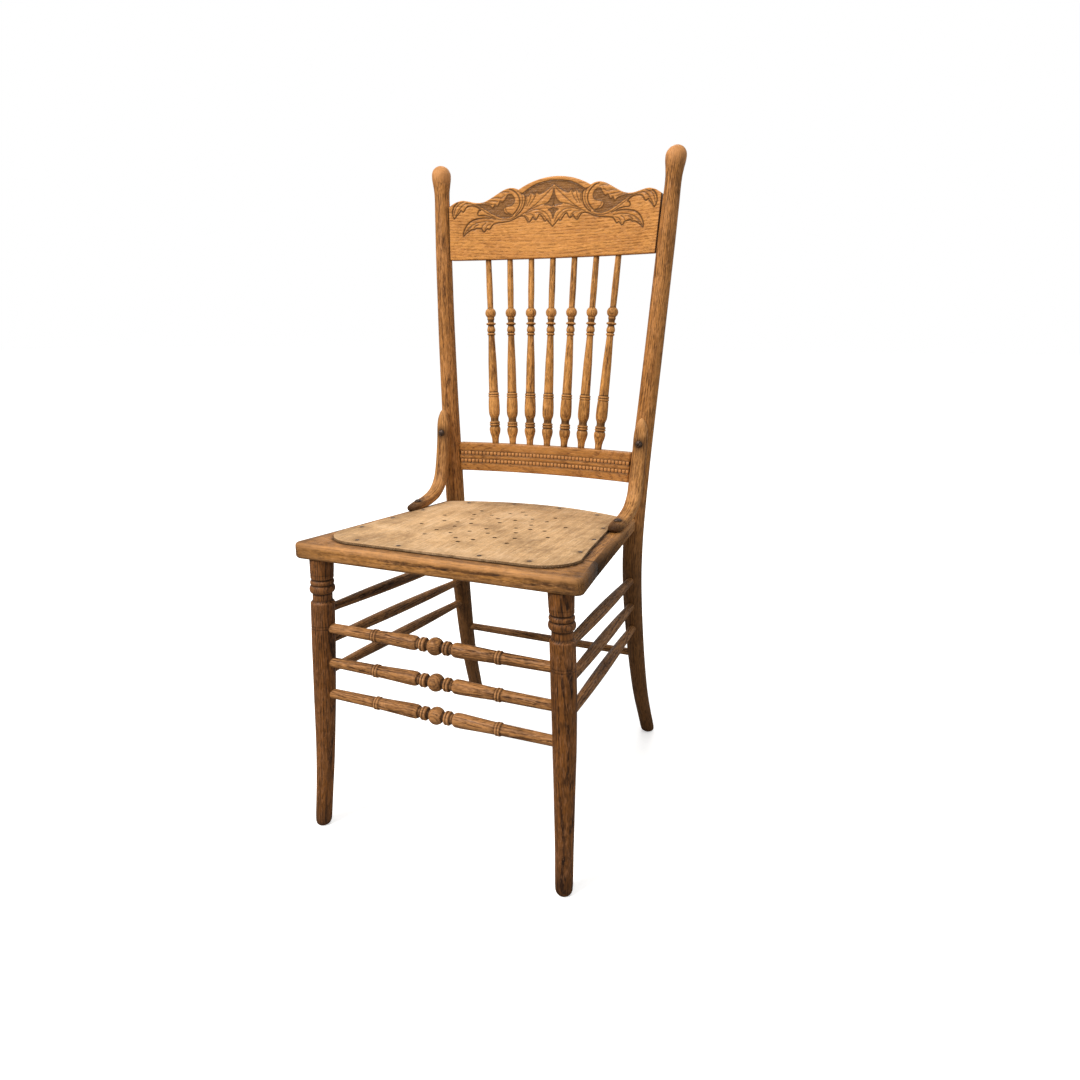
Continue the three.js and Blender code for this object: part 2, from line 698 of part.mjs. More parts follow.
for (const side of ["right", "left"]) {
  const placed = ([x, y, z]) => new THREE.Vector3(side === "right" ? x : -x, y, z);
  const shape = side === "right" ? braceShape() : mirrored(braceShape());
  const brace = addPiece(`brace_${side}`, geometryOf(solidOf(shape)), oak.brace);
  const sideRail = rails[`seat_side_rail_${side}`];

  const drive = (name, { head, towards, length }) => {
    return addScrew(`${name}_${side}`, placed(head), placed(towards), length);
  };
  const topBore = drive("brace_top_screw", braceTopScrew);
  const footBore = drive("brace_foot_screw", braceFootScrew);
  const postBore = drive("post_screw", postScrew);
  cut(brace, [topBore, footBore]);
  cut(sideRail, [footBore, postBore]);
  postCuts[side].push(topBore, postBore);
}

// ---- Mortises and bores of the posts and legs -----------------------------------------------------------

for (const side of ["right", "left"]) {
  cut(posts[side], postCuts[side]);
  cut(legs[side], legCuts[side]);
}

// ---- The origin moves to the middle of the footprint ----------------------------------------------------

const footprint = new THREE.Box3().setFromObject(chair);
chair.position.y = -(footprint.min.y + footprint.max.y) / 2;

const assembly = new THREE.Group();
assembly.add(chair);

export default assembly;
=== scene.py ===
import math

import bmesh
import bpy
import numpy as np
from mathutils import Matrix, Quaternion, Vector, geometry, noise


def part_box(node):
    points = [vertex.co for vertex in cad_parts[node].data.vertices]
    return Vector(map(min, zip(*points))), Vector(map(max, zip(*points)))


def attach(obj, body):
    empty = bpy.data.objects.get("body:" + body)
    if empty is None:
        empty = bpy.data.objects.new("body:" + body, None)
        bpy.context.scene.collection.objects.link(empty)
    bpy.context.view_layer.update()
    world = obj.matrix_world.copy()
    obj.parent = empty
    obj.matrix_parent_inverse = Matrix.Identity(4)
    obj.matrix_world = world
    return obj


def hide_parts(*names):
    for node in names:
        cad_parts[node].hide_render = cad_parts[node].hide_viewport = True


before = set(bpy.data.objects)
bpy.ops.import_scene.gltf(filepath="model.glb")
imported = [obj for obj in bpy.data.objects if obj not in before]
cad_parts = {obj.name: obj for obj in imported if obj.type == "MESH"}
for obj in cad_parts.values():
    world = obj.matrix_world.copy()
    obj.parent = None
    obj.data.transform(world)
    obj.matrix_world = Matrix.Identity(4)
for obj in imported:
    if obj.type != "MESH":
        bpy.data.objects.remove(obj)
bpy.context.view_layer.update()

scene = bpy.context.scene
MM = 0.001


def new_object(name, data):
    made = bpy.data.objects.new(name, data)
    scene.collection.objects.link(made)
    return made


# ---- Stand ---------------------------------------------------------------------------------------------
# The chair stands on a plain pale floor in soft daylight from large panels, seen from standing height
# with the front right-hand leg nearest.

camera_data = bpy.data.cameras.new("camera")
camera_data.sensor_width = 36
camera_data.lens = 25.85
camera = new_object("camera", camera_data)
camera.location = (0.5146, -1.0755, 0.7257)
camera.rotation_euler = (math.radians(90 - 14.7), math.radians(-0.2), math.radians(23.0))
scene.camera = camera
scene.view_settings.view_transform = "Standard"

floor_mesh = bpy.data.meshes.new("floor")
floor_mesh.from_pydata([(-40, -40, 0), (40, -40, 0), (40, 40, 0), (-40, 40, 0)], [], [(0, 1, 2, 3)])
floor = new_object("floor", floor_mesh)
floor_paint = bpy.data.materials.new("pale_floor")
floor_paint.use_nodes = True
floor_nodes = floor_paint.node_tree
pale = floor_nodes.nodes["Principled BSDF"]
pale.inputs["Base Color"].default_value = (0.95, 0.95, 0.95, 1)
pale.inputs["Roughness"].default_value = 0.9
pale.inputs["Emission Color"].default_value = (1, 1, 1, 1)
pale.inputs["Emission Strength"].default_value = 0.45
# Light that bounces off the floor is dimmer than the floor looks, so the chair keeps its dark undersides.
dim = floor_nodes.nodes.new("ShaderNodeBsdfDiffuse")
dim.inputs["Color"].default_value = (0.30, 0.29, 0.28, 1)
seen_directly = floor_nodes.nodes.new("ShaderNodeLightPath")
choose = floor_nodes.nodes.new("ShaderNodeMixShader")
floor_nodes.links.new(seen_directly.outputs["Is Camera Ray"], choose.inputs[0])
floor_nodes.links.new(dim.outputs[0], choose.inputs[1])
floor_nodes.links.new(pale.outputs[0], choose.inputs[2])
floor_nodes.links.new(choose.outputs[0], floor_nodes.nodes["Material Output"].inputs["Surface"])
floor_mesh.materials.append(floor_paint)

sky = bpy.data.worlds.new("studio")
sky.use_nodes = True
sky_nodes = sky.node_tree
sky_light = sky_nodes.nodes["Background"]
sky_light.inputs["Color"].default_value = (1.0, 0.99, 0.97, 1)
sky_light.inputs["Strength"].default_value = 0.62
backdrop = sky_nodes.nodes.new("ShaderNodeBackground")
backdrop.inputs["Color"].default_value = (1, 1, 1, 1)
seen_first = sky_nodes.nodes.new("ShaderNodeLightPath")
either = sky_nodes.nodes.new("ShaderNodeMixShader")
sky_nodes.links.new(seen_first.outputs["Is Camera Ray"], either.inputs[0])
sky_nodes.links.new(sky_light.outputs[0], either.inputs[1])
sky_nodes.links.new(backdrop.outputs[0], either.inputs[2])
sky_nodes.links.new(either.outputs[0], sky_nodes.nodes["World Output"].inputs["Surface"])
scene.world = sky


def add_light_panel(name, place, power, width, warmth=0.0):
    panel = bpy.data.lights.new(name, "AREA")
    panel.color = (1, 1 - warmth / 2, 1 - warmth)
    panel.shape = "SQUARE"
    panel.size = width
    panel.energy = power
    lamp = new_object(name, panel)
    lamp.location = place
    lamp.rotation_euler = (Vector((0, 0, 0.5)) - Vector(place)).to_track_quat("-Z", "Y").to_euler()


add_light_panel("key_panel", (-1.4, -2.2, 3.2), 120, 0.9, 0.12)
add_light_panel("fill_panel", (2.8, -1.4, 1.8), 10, 2.0)
add_light_panel("back_panel", (-0.6, 2.4, 2.8), 30, 1.6)


# ---- Back posts ----------------------------------------------------------------------------------------
# Each post is one stick of oak from the floor to its knob, turned round, steamed and bent. It leans back
# above the seat and sweeps out behind the chair below it.

front_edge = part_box("seat_front_rail")[0][1] / MM  # where the design's y = 0 lies in the frame
post_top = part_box("back_post_right")[1][2] / MM


def smooth_through(knots):
    """A smooth function through (position, value) knots, for one number or an array of them."""
    places = [place for place, _ in knots]
    values = [value for _, value in knots]
    last = len(knots) - 1
    after = [min(i + 1, last) for i in range(last + 1)]
    before = [max(i - 1, 0) for i in range(last + 1)]
    slopes = [(values[b] - values[a]) / (places[b] - places[a]) for a, b in zip(before, after)]

    def at(position):
        position = np.asarray(position, dtype=float)
        i = np.clip(np.searchsorted(places, position, side="right") - 1, 0, last - 1)
        span = np.take(places, i + 1) - np.take(places, i)
        t = (position - np.take(places, i)) / span
        return (
            np.take(values, i) * (1 + 2 * t) * (1 - t) ** 2
            + np.take(slopes, i) * span * t * (1 - t) ** 2
            + np.take(values, i + 1) * t * t * (3 - 2 * t)
            + np.take(slopes, i + 1) * span * t * t * (t - 1)
        )

    return at


def put(tree, kind, inputs=(), **settings):
    """Adds a node; a socket given as an input's value is linked to it."""
    made = tree.nodes.new(kind)
    for key, value in settings.items():
        setattr(made, key, value)
    for key, value in dict(inputs).items():
        if isinstance(value, bpy.types.NodeSocket):
            tree.links.new(value, made.inputs[key])
        else:
            made.inputs[key].default_value = value
    return made


def new_group(name, kind, inputs, outputs):
    """A node group with named inputs (name, type, value) and outputs (name, type)."""
    tree = bpy.data.node_groups.new(name, kind)
    for label, socket_type, value in inputs:
        socket = tree.interface.new_socket(label, in_out="INPUT", socket_type=socket_type)
        if value is not None:
            socket.default_value = value
    for label, socket_type in outputs:
        tree.interface.new_socket(label, in_out="OUTPUT", socket_type=socket_type)
    return tree, tree.nodes.new("NodeGroupInput"), tree.nodes.new("NodeGroupOutput")


def math_node(tree, operation, first, second=0.0, third=0.0, clamp=False):
    made = put(tree, "ShaderNodeMath", {0: first, 1: second, 2: third}, operation=operation, use_clamp=clamp)
    return made.outputs[0]


def ramp(tree, value, low, high, to_low=0.0, to_high=1.0):
    made = put(
        tree,
        "ShaderNodeMapRange",
        {"Value": value, "From Min": low, "From Max": high, "To Min": to_low, "To Max": to_high},
        interpolation_type="SMOOTHSTEP",
    )
    return made.outputs["Result"]


def stretched_noise(tree, position, across, along, detail=2.0, roughness=0.5):
    """Noise whose cells are `across` and `along` metres in size, the grain running along Z."""
    scale = (1 / across, 1 / across, 1 / along)
    scaled = put(tree, "ShaderNodeVectorMath", {0: position, 1: scale}, operation="MULTIPLY")
    made = put(
        tree,
        "ShaderNodeTexNoise",
        {"Vector": scaled.outputs[0], "Scale": 1.0, "Detail": detail, "Roughness": roughness},
    )
    return made.outputs["Fac"]


def build_oak_figure():
    """Oak as a tree grows it: rings round the pith, open pores in the early wood, ray flecks and streaks."""
    tree, given, result = new_group(
        "oak_figure",
        "ShaderNodeTree",
        [("Position", "NodeSocketVector", None), ("Ring Spacing", "NodeSocketFloat", 0.0028)],
        [("Rings", "NodeSocketFloat"), ("Pores", "NodeSocketFloat"), ("Flecks", "NodeSocketFloat"),
         ("Streaks", "NodeSocketFloat"), ("Height", "NodeSocketFloat")],
    )
    position = given.outputs["Position"]
    drift = stretched_noise(tree, position, 0.035, 0.26, 1.0)
    waver = stretched_noise(tree, position, 0.006, 0.05, 2.0)
    flat = put(tree, "ShaderNodeVectorMath", {0: position, 1: (1, 1, 0)}, operation="MULTIPLY").outputs[0]
    radius = put(tree, "ShaderNodeVectorMath", {0: flat}, operation="LENGTH").outputs["Value"]
    radius = math_node(tree, "MULTIPLY_ADD", drift, 0.016, radius)
    radius = math_node(tree, "MULTIPLY_ADD", waver, 0.0022, radius)
    turns = math_node(tree, "DIVIDE", radius, given.outputs["Ring Spacing"])
    part = math_node(tree, "FRACT", turns)
    early = ramp(tree, part, 0.0, 0.5, 1.0, 0.0)
    late = ramp(tree, part, 0.93, 1.0)
    rings = math_node(tree, "MAXIMUM", early, late)

    fine_pores = ramp(tree, stretched_noise(tree, position, 0.0009, 0.010, 1.0), 0.55, 0.64)
    open_pores = ramp(tree, stretched_noise(tree, position, 0.0021, 0.014, 1.0), 0.54, 0.64)
    pores = math_node(tree, "MAXIMUM", fine_pores, open_pores)
    in_rings = math_node(tree, "MULTIPLY_ADD", rings, 0.5, 0.5)
    pores = math_node(tree, "MULTIPLY", pores, in_rings, clamp=True)
    flecks = ramp(tree, stretched_noise(tree, position, 0.0026, 0.011, 1.0), 0.53, 0.68)
    streaks = stretched_noise(tree, position, 0.006, 0.12, 3.0, 0.6)

    height = math_node(tree, "MULTIPLY_ADD", pores, -0.8, math_node(tree, "MULTIPLY", rings, -0.25))
    for label, socket in (
        ("Rings", rings), ("Pores", pores), ("Flecks", flecks), ("Streaks", streaks), ("Height", height)
    ):
        tree.links.new(socket, result.inputs[label])
    return tree


def build_old_varnish():
    """What a century does to varnish: edges rubbed through, soiling in the hollows, dull patches and small
    scratches. The edge and hollow masks also carry painted highlights and painted shade where a piece sets
    them.
    """
    tree, given, result = new_group(
        "old_varnish",
        "ShaderNodeTree",
        [("Place", "NodeSocketVector", None), ("Edges", "NodeSocketFloat", 0.0),
         ("Hollows", "NodeSocketFloat", 0.0), ("Wear and Highlight", "NodeSocketFloat", 0.5),
         ("Grime and Shade", "NodeSocketFloat", 0.5)],
        [("Bare and Highlight", "NodeSocketFloat"), ("Dirt and Shade", "NodeSocketFloat"), ("Dull", "NodeSocketFloat"),
         ("Scratches", "NodeSocketFloat")],
    )
    place = given.outputs["Place"]
    broad = stretched_noise(tree, place, 0.075, 0.075, 3.0, 0.6)
    patchy = stretched_noise(tree, place, 0.012, 0.012, 4.0, 0.65)
    mottle = math_node(tree, "ADD", broad, math_node(tree, "MULTIPLY", patchy, 0.8))
    edge = math_node(tree, "ADD", given.outputs["Edges"], ramp(tree, mottle, 0.85, 1.15, 0.0, 0.45))
    bare_and_highlight = math_node(tree, "MULTIPLY", edge, given.outputs["Wear and Highlight"], clamp=True)
    low = math_node(tree, "ADD", given.outputs["Hollows"], ramp(tree, mottle, 0.95, 0.62, 0.0, 0.55))
    dirt_and_shade = math_node(tree, "MULTIPLY", low, given.outputs["Grime and Shade"], clamp=True)
    dull = ramp(tree, patchy, 0.4, 0.62)
    turned = put(tree, "ShaderNodeMapping", {"Vector": place, "Rotation": (0.5, 0.35, 0.9)})
    lines = stretched_noise(tree, turned.outputs[0], 0.0009, 0.03, 0.0)
    scratches = math_node(tree, "MULTIPLY", ramp(tree, lines, 0.71, 0.75), ramp(tree, broad, 0.5, 0.6))
    for label, socket in (("Bare and Highlight", bare_and_highlight), ("Dirt and Shade", dirt_and_shade), ("Dull", dull), ("Scratches", scratches)):
        tree.links.new(socket, result.inputs[label])
    return tree


oak_figure = build_oak_figure()
old_varnish = build_old_varnish()


def mix_colour(tree, share, first, second, blend="MIX"):
    made = put(tree, "ShaderNodeMix", {0: share, 6: first, 7: second}, data_type="RGBA", blend_type=blend)
    return made.outputs[2]


def oak_finish(
    name, light, dark, wear_and_highlight, grime_and_shade, gloss=0.42, pore_tone=0.3, ring_spacing=0.0028, grain_lift=0.5,
    ring_depth=0.7, pore_depth=0.9, fleck_depth=0.4,
):
    """Varnished oak. The piece's attributes say where its grain runs, where it is rubbed or soiled, and where
    painted shade and painted highlights lie.
    """
    material = bpy.data.materials.new(name)
    material.use_nodes = True
    tree = material.node_tree
    shader = tree.nodes["Principled BSDF"]
    grain = put(tree, "ShaderNodeAttribute", attribute_name="grain").outputs["Vector"]
    tone = put(tree, "ShaderNodeAttribute", attribute_name="tone").outputs["Vector"]
    tones = put(tree, "ShaderNodeSeparateXYZ", {0: tone})
    figure = put(tree, "ShaderNodeGroup", node_tree=oak_figure)
    tree.links.new(grain, figure.inputs["Position"])
    figure.inputs["Ring Spacing"].default_value = ring_spacing
    varnish = put(tree, "ShaderNodeGroup", node_tree=old_varnish)
    place = put(tree, "ShaderNodeTexCoord").outputs["Object"]
    tree.links.new(place, varnish.inputs["Place"])
    tree.links.new(tones.outputs["X"], varnish.inputs["Edges"])
    tree.links.new(tones.outputs["Y"], varnish.inputs["Hollows"])
    varnish.inputs["Wear and Highlight"].default_value = wear_and_highlight
    varnish.inputs["Grime and Shade"].default_value = grime_and_shade

    light_rgba = (*light, 1)
    dark_rgba = (*dark, 1)
    pore_rgba = tuple(channel * pore_tone for channel in dark) + (1,)
    bare_and_highlight_rgba = tuple(min(1.0, channel * 1.35 + 0.05) for channel in light) + (1,)
    dirt_and_shade_rgba = tuple(channel * share for channel, share in zip(dark, (0.26, 0.24, 0.22))) + (1,)
    stain_and_shade_rgba = tuple(channel * 0.13 for channel in dark) + (1,)

    by_ring = math_node(tree, "MULTIPLY", figure.outputs["Rings"], ring_depth)
    streak = ramp(tree, figure.outputs["Streaks"], 0.35, 0.65, -0.3, 0.5)
    share = math_node(tree, "ADD", by_ring, streak, clamp=True)
    colour = mix_colour(tree, share, light_rgba, dark_rgba)
    fleck = math_node(tree, "MULTIPLY", figure.outputs["Flecks"], fleck_depth)
    colour = mix_colour(tree, fleck, colour, bare_and_highlight_rgba)
    pores = math_node(tree, "MULTIPLY", figure.outputs["Pores"], pore_depth)
    colour = mix_colour(tree, pores, colour, pore_rgba)
    # Pale bare wood on worn edges; on the seat rails' top rounding this is also a painted highlight.
    bare_and_highlight = math_node(tree, "MULTIPLY", varnish.outputs["Bare and Highlight"], 0.75)
    colour = mix_colour(tree, bare_and_highlight, colour, bare_and_highlight_rgba)
    # Grime darkens the hollows; on the seat rails it is also a painted shadow along the panel's edge.
    dirt_and_shade = math_node(tree, "MULTIPLY", varnish.outputs["Dirt and Shade"], 0.85)
    colour = mix_colour(tree, dirt_and_shade, colour, dirt_and_shade_rgba)
    scratches = math_node(tree, "MULTIPLY", varnish.outputs["Scratches"], 0.5)
    colour = mix_colour(tree, scratches, colour, bare_and_highlight_rgba)
    # Tone Z darkens towards a deep brown: real stain in pressed lines, at joints and round iron, and painted
    # shade on the posts below the seat and on the seat rails beside the panel.
    colour = mix_colour(tree, tones.outputs["Z"], colour, stain_and_shade_rgba)
    tree.links.new(colour, shader.inputs["Base Color"])

    rough = math_node(tree, "MULTIPLY_ADD", varnish.outputs["Dull"], 0.2, gloss)
    rough = math_node(tree, "MULTIPLY_ADD", figure.outputs["Pores"], 0.25, rough)
    rough = math_node(tree, "MULTIPLY_ADD", varnish.outputs["Dirt and Shade"], 0.25, rough, clamp=True)
    tree.links.new(rough, shader.inputs["Roughness"])
    lift = math_node(tree, "MULTIPLY_ADD", varnish.outputs["Scratches"], -0.5, figure.outputs["Height"])
    bump = put(tree, "ShaderNodeBump", {"Strength": grain_lift, "Distance": 0.0006, "Height": lift})
    tree.links.new(bump.outputs["Normal"], shader.inputs["Normal"])
    shader.inputs["Specular IOR Level"].default_value = 0.22
    return material


def turned_profile(core, beads=(), grooves=(), balls=(), step=1.0):
    """Heights and radii of a turning: straight tapers, beads and balls on them, and grooves cut into them."""
    count = max(2, round((core[-1][0] - core[0][0]) / step) + 1)
    heights = np.linspace(core[0][0], core[-1][0], count)
    radii = np.interp(heights, [height for height, _ in core], [radius for _, radius in core])
    for centre, half, radius in beads:
        rise = np.sqrt(np.clip(1 - ((heights - centre) / half) ** 2, 0, 1))
        radii = np.maximum(radii, radii + (radius - radii) * rise)
    for centre, half, radius in balls:
        radii = np.maximum(radii, radius * np.sqrt(np.clip(1 - ((heights - centre) / half) ** 2, 0, 1)))
    for centre, half, depth in grooves:
        radii = radii - depth * np.exp(-(((heights - centre) / half) ** 2))
    return heights, radii


def skin(rings, sides):
    """Faces between closed rings of points, one ring after another, and across both ends."""
    here = np.arange(sides)
    after = (here + 1) % sides
    faces = []
    for ring in range(rings - 1):
        low = ring * sides
        faces += np.column_stack([low + here, low + after, low + sides + after, low + sides + here]).tolist()
    return faces + [here[::-1].tolist(), ((rings - 1) * sides + here).tolist()]


def lathe(heights, radii, sides):
    """Points, faces and tone of a turning about Z. Tone holds rubbed edges, soiled hollows, and a third
    channel for stain and painted shade.
    """
    angles = np.arange(sides) * 2 * math.pi / sides
    across = np.outer(radii, np.cos(angles)).ravel()
    deep = np.outer(radii, np.sin(angles)).ravel()
    points = np.column_stack([across, deep, np.repeat(heights, sides)])
    faces = skin(len(heights), sides)

    spacing = (heights[-1] - heights[0]) / (len(heights) - 1)
    reach = max(1, round(2.5 / spacing))
    padded = np.pad(radii, reach, mode="edge")
    around = np.convolve(padded, np.ones(2 * reach + 1) / (2 * reach + 1), mode="valid")
    stands_out = (radii - around) / 0.7
    tone = np.zeros((len(points), 3))
    tone[:, 0] = np.repeat(np.clip(stands_out, 0, 1), sides)
    tone[:, 1] = np.repeat(np.clip(-stands_out, 0, 1), sides)
    return points, faces, tone


def hand_worn(points, amount, seed):
    """Small dents and flats of long use, in millimetres, so that nothing is perfectly round."""
    moved = points.copy()
    for i, (x, y, z) in enumerate(points):
        at = Vector((x * 0.05 + seed, y * 0.05, z * 0.012))
        moved[i, 0] *= 1 + amount * noise.noise(at) / 15
        moved[i, 1] *= 1 + amount * noise.noise(at + Vector((7.3, 1.1, 0))) / 15
    return moved


def cut_from_log(points, seed, pith=(46, 18)):
    """Where each point lay in the log, in metres: every piece has its own place off the pith."""
    turn = seed * 2.4
    logged = points.copy()
    logged[:, 0] = points[:, 0] * math.cos(turn) - points[:, 1] * math.sin(turn) + pith[0]
    logged[:, 1] = points[:, 0] * math.sin(turn) + points[:, 1] * math.cos(turn) + pith[1]
    logged[:, 2] = points[:, 2] + seed * 731
    return logged * MM


def in_frame(points):
    """Millimetre points in the design's own place, as metres in the frame."""
    placed = np.array(points, dtype=float) * MM
    placed[:, 1] += front_edge * MM
    return placed


def write_tones(mesh, grain, tone):
    mesh.attributes.new("grain", "FLOAT_VECTOR", "POINT").data.foreach_set("vector", grain.ravel())
    mesh.attributes.new("tone", "FLOAT_VECTOR", "POINT").data.foreach_set("vector", tone.ravel())


def add_piece(name, points, faces, grain, tone, material, nodes):
    """Makes one finished piece from millimetre points in the design's own place, for the frame."""
    mesh = bpy.data.meshes.new(name)
    mesh.from_pydata(in_frame(points).tolist(), [], faces)
    write_tones(mesh, grain, tone)
    mesh.polygons.foreach_set("use_smooth", [True] * len(mesh.polygons))
    mesh.materials.append(material)
    made = new_object(name, mesh)
    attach(made, "root")
    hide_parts(*nodes)
    return made


def mirrored(points, faces):
    flipped = points.copy()
    flipped[:, 0] *= -1
    return flipped, [face[::-1] for face in faces]


post_x = smooth_through([(0, 182), (110, 174.5), (330, 167), (445, 170), (720, 187.5), (post_top, 204)])
post_y = smooth_through([
    (0, 485.5), (110, 440), (220, 411), (330, 392.5), (445, 387.5), (720, 403.5), (post_top, 427),
])
post_core = [
    (0, 8.5), (1.2, 10), (3, 11.2), (6, 12), (12, 12.4), (45, 12.6), (95, 13.3), (150, 14.1), (215, 15.1),
    (285, 16), (365, 16.6), (445, 16.6), (520, 15.9), (620, 14.9), (740, 14.3), (860, 13.8), (925, 13.1),
    (950, 12.6), (962, 12.9),
]


knob_middle = 990
knob_radius = 16.1


def knob_profile(heights):
    """An egg-shaped knob that grows out of the neck and is roundest near its top."""
    grow = smooth_through([(950, 12.5), (963, 13.0), (974, 14.4), (984, 15.9), (knob_middle, knob_radius)])
    above = (heights - knob_middle) / (post_top - knob_middle)
    crown = knob_radius * np.sqrt(np.clip(1 - above**2, 0.02, 1))
    return np.where(heights < knob_middle, grow(heights), crown)


def bend(points, axis_x, axis_y):
    """Bends a straight turning to its axis; a slanted stretch keeps its thickness across the bend."""
    bent = points.copy()
    slope = (axis_y(points[:, 2] + 1) - axis_y(points[:, 2] - 1)) / 2
    bent[:, 0] += axis_x(points[:, 2])
    bent[:, 1] = points[:, 1] * np.hypot(1, slope) + axis_y(points[:, 2])
    return bent


post_oak = oak_finish("post_oak", (0.49, 0.210, 0.052), (0.225, 0.086, 0.019), wear_and_highlight=0.6, grime_and_shade=0.5)

straight_heights, straight_radii = turned_profile(post_core, step=3.0)
crown_heights = knob_middle + (post_top - knob_middle) * np.sin(np.linspace(0.1, 1.5, 15))
knob_heights = np.concatenate([np.linspace(964, knob_middle, 14), crown_heights])
post_heights = np.concatenate([straight_heights, knob_heights])
post_radii = np.concatenate([straight_radii, knob_profile(knob_heights)])
for number, side in enumerate(("right", "left")):
    points, faces, tone = lathe(post_heights, post_radii, 40)
    grain = cut_from_log(points, number + 1.3)
    points = bend(hand_worn(points, 0.25, number * 3.1), post_x, post_y)
    near_floor = np.clip(1 - points[:, 2] / 60, 0, 1)
    on_knob = np.clip((points[:, 2] - 972) / 26, 0, 1)
    tone[:, 0] = np.maximum(tone[:, 0] * 0.4, on_knob * 2)
    tone[:, 1] = np.maximum(tone[:, 1] * 0.5, near_floor * 0.8)
    # Painted shade: the post is painted darker below the seat, where the seat's shadow falls.
    tone[:, 2] = 0.7 * np.clip((470 - points[:, 2]) / 130, 0, 1)
    if side == "left":
        points, faces = mirrored(points, faces)
    node = f"back_post_{side}"
    add_piece(f"{node}_wood", points, faces, grain, tone, post_oak, [node])


# ---- Front legs ----------------------------------------------------------------------------------------
# Turned oak legs with a ring, a cove and a scribed line below the seat, kicked forward a little at the
# foot. A round tenon at the top is glued up into the front rail.

leg_x = smooth_through([(0, 198.5), (110, 194), (260, 189.3), (440, 181.5)])
leg_y = smooth_through([(0, 2), (110, 12), (260, 18.5), (440, 20.5)])
leg_shoulder = 421
leg_core = [
    (0, 8), (1.2, 9.6), (3, 10.8), (6, 11.8), (14, 12.3), (60, 12.7), (130, 14.1), (200, 15.8), (290, 17),
    (350, 16.9), (356, 17), (357.3, 15.4), (359.5, 14), (370, 13.9), (382, 14.4), (391, 14.6), (392.4, 16.2),
    (leg_shoulder, 17.1),
]
leg_beads = [(376.4, 6, 17.9), (386.2, 3.6, 16.8)]
leg_grooves = [(317, 0.9, 0.5), (321, 0.9, 0.4), (398, 0.6, 0.4)]
leg_oak = oak_finish(
    "leg_oak", (0.235, 0.086, 0.016), (0.052, 0.017, 0.003), wear_and_highlight=0.5, grime_and_shade=0.6, gloss=0.38, grain_lift=0.4
)

for number, side in enumerate(("right", "left")):
    heights, radii = turned_profile(leg_core, leg_beads, leg_grooves, step=0.9)
    points, faces, tone = lathe(heights, radii, 40)
    grain = cut_from_log(points, number + 5.7)
    points = bend(hand_worn(points, 0.2, number * 2.7 + 9), leg_x, leg_y)
    near_floor = np.clip(1 - points[:, 2] / 50, 0, 1)
    tone[:, 0] *= 0.5
    tone[:, 1] = np.maximum(tone[:, 1], near_floor * 0.6)
    tone[:, 2] = tone[:, 1] * 0.6
    if side == "left":
        points, faces = mirrored(points, faces)
    node = f"front_leg_{side}"
    add_piece(f"{node}_wood", points, faces, grain, tone, leg_oak, [node])


# ---- Stretchers ----------------------------------------------------------------------------------------
# Three ball-turned stretchers join the front legs, three plain barrel-turned ones run back on each side,
# and one joins the posts. Their ends are driven into round holes.

tenon_short = 3
end_radius = 6.5
stretcher_oak = oak_finish(
    "stretcher_oak", (0.44, 0.200, 0.062), (0.125, 0.048, 0.013), wear_and_highlight=0.7, grime_and_shade=0.75, gloss=0.4
)


def post_at(height):
    return Vector((float(post_x(height)), float(post_y(height)), height))


def leg_at(height):
    return Vector((float(leg_x(height)), float(leg_y(height)), height))


def on_left(point):
    return Vector((-point.x, point.y, point.z))


def laid_between(points, start, end):
    """Places a turning, made along Z about its own middle, between two points."""
    turn = np.array((end - start).to_track_quat("Z", "Y").to_matrix())
    return points @ turn.T + np.array((start + end) / 2)


def add_stretcher(name, profile, start, end, seed, stain=0.0):
    direction = (end - start).normalized()
    start = start + direction * tenon_short
    end = end - direction * tenon_short
    heights, radii = profile((end - start).length / 2)
    points, faces, tone = lathe(heights, radii, 28)
    grain = cut_from_log(points, seed)
    points = laid_between(hand_worn(points, 0.25, seed), start, end)
    tone[:, 0] *= 0.7
    tone[:, 2] = np.maximum(stain, tone[:, 1] * 0.6)
    add_piece(f"{name}_wood", points, faces, grain, tone, stretcher_oak, [name])


def barrel(middle_radius):
    def profile(half):
        swell = half * 0.82
        heights = np.linspace(-half, half, 80)
        rise = np.clip(1 - (heights / swell) ** 2, 0, 1)
        return heights, end_radius + (middle_radius - end_radius) * rise

    return profile


def ball_turned(half):
    side_core = [
        (0, 6.2), (13.4, 6.2), (14.4, 8.6), (18.4, 8.2), (22.2, 8.6), (23.4, 7.4), (27.6, 7.4), (29, 9.2),
        (32, 10.3), (40, 10.4), (60, 9.6), (92, 8.5), (101, 8.2), (half - 20, end_radius + 1),
        (half - 8, end_radius + 0.9), (half, end_radius),
    ]
    core = [(-height, radius) for height, radius in reversed(side_core[1:])] + side_core
    rings = [(16.4, 10.1), (20.4, 10.1), (94.5, 9.7), (98.5, 9.7)]
    beads = [(way * place, 1.9, radius) for way in (1, -1) for place, radius in rings]
    return turned_profile(core, beads, [], [(0, 12, 12.6)], step=0.7)


levels = ("top", "middle", "bottom")
front_heights = (317, 264, 214.5)
side_heights_at_leg = (342, 293, 245)
side_heights_at_post = (326, 279, 236)
for i, level in enumerate(levels):
    right = leg_at(front_heights[i])
    add_stretcher(f"front_stretcher_{level}", ball_turned, on_left(right), right, 11.1 + i)
    front = leg_at(side_heights_at_leg[i])
    rear = post_at(side_heights_at_post[i])
    add_stretcher(f"side_stretcher_right_{level}", barrel(8.7), front, rear, 14.2 + i, 0.35)
    add_stretcher(f"side_stretcher_left_{level}", barrel(8.7), on_left(front), on_left(rear), 17.3 + i, 0.35)
rear_right = post_at(181)
add_stretcher("rear_stretcher", barrel(7), on_left(rear_right), rear_right, 20.4, 0.25)


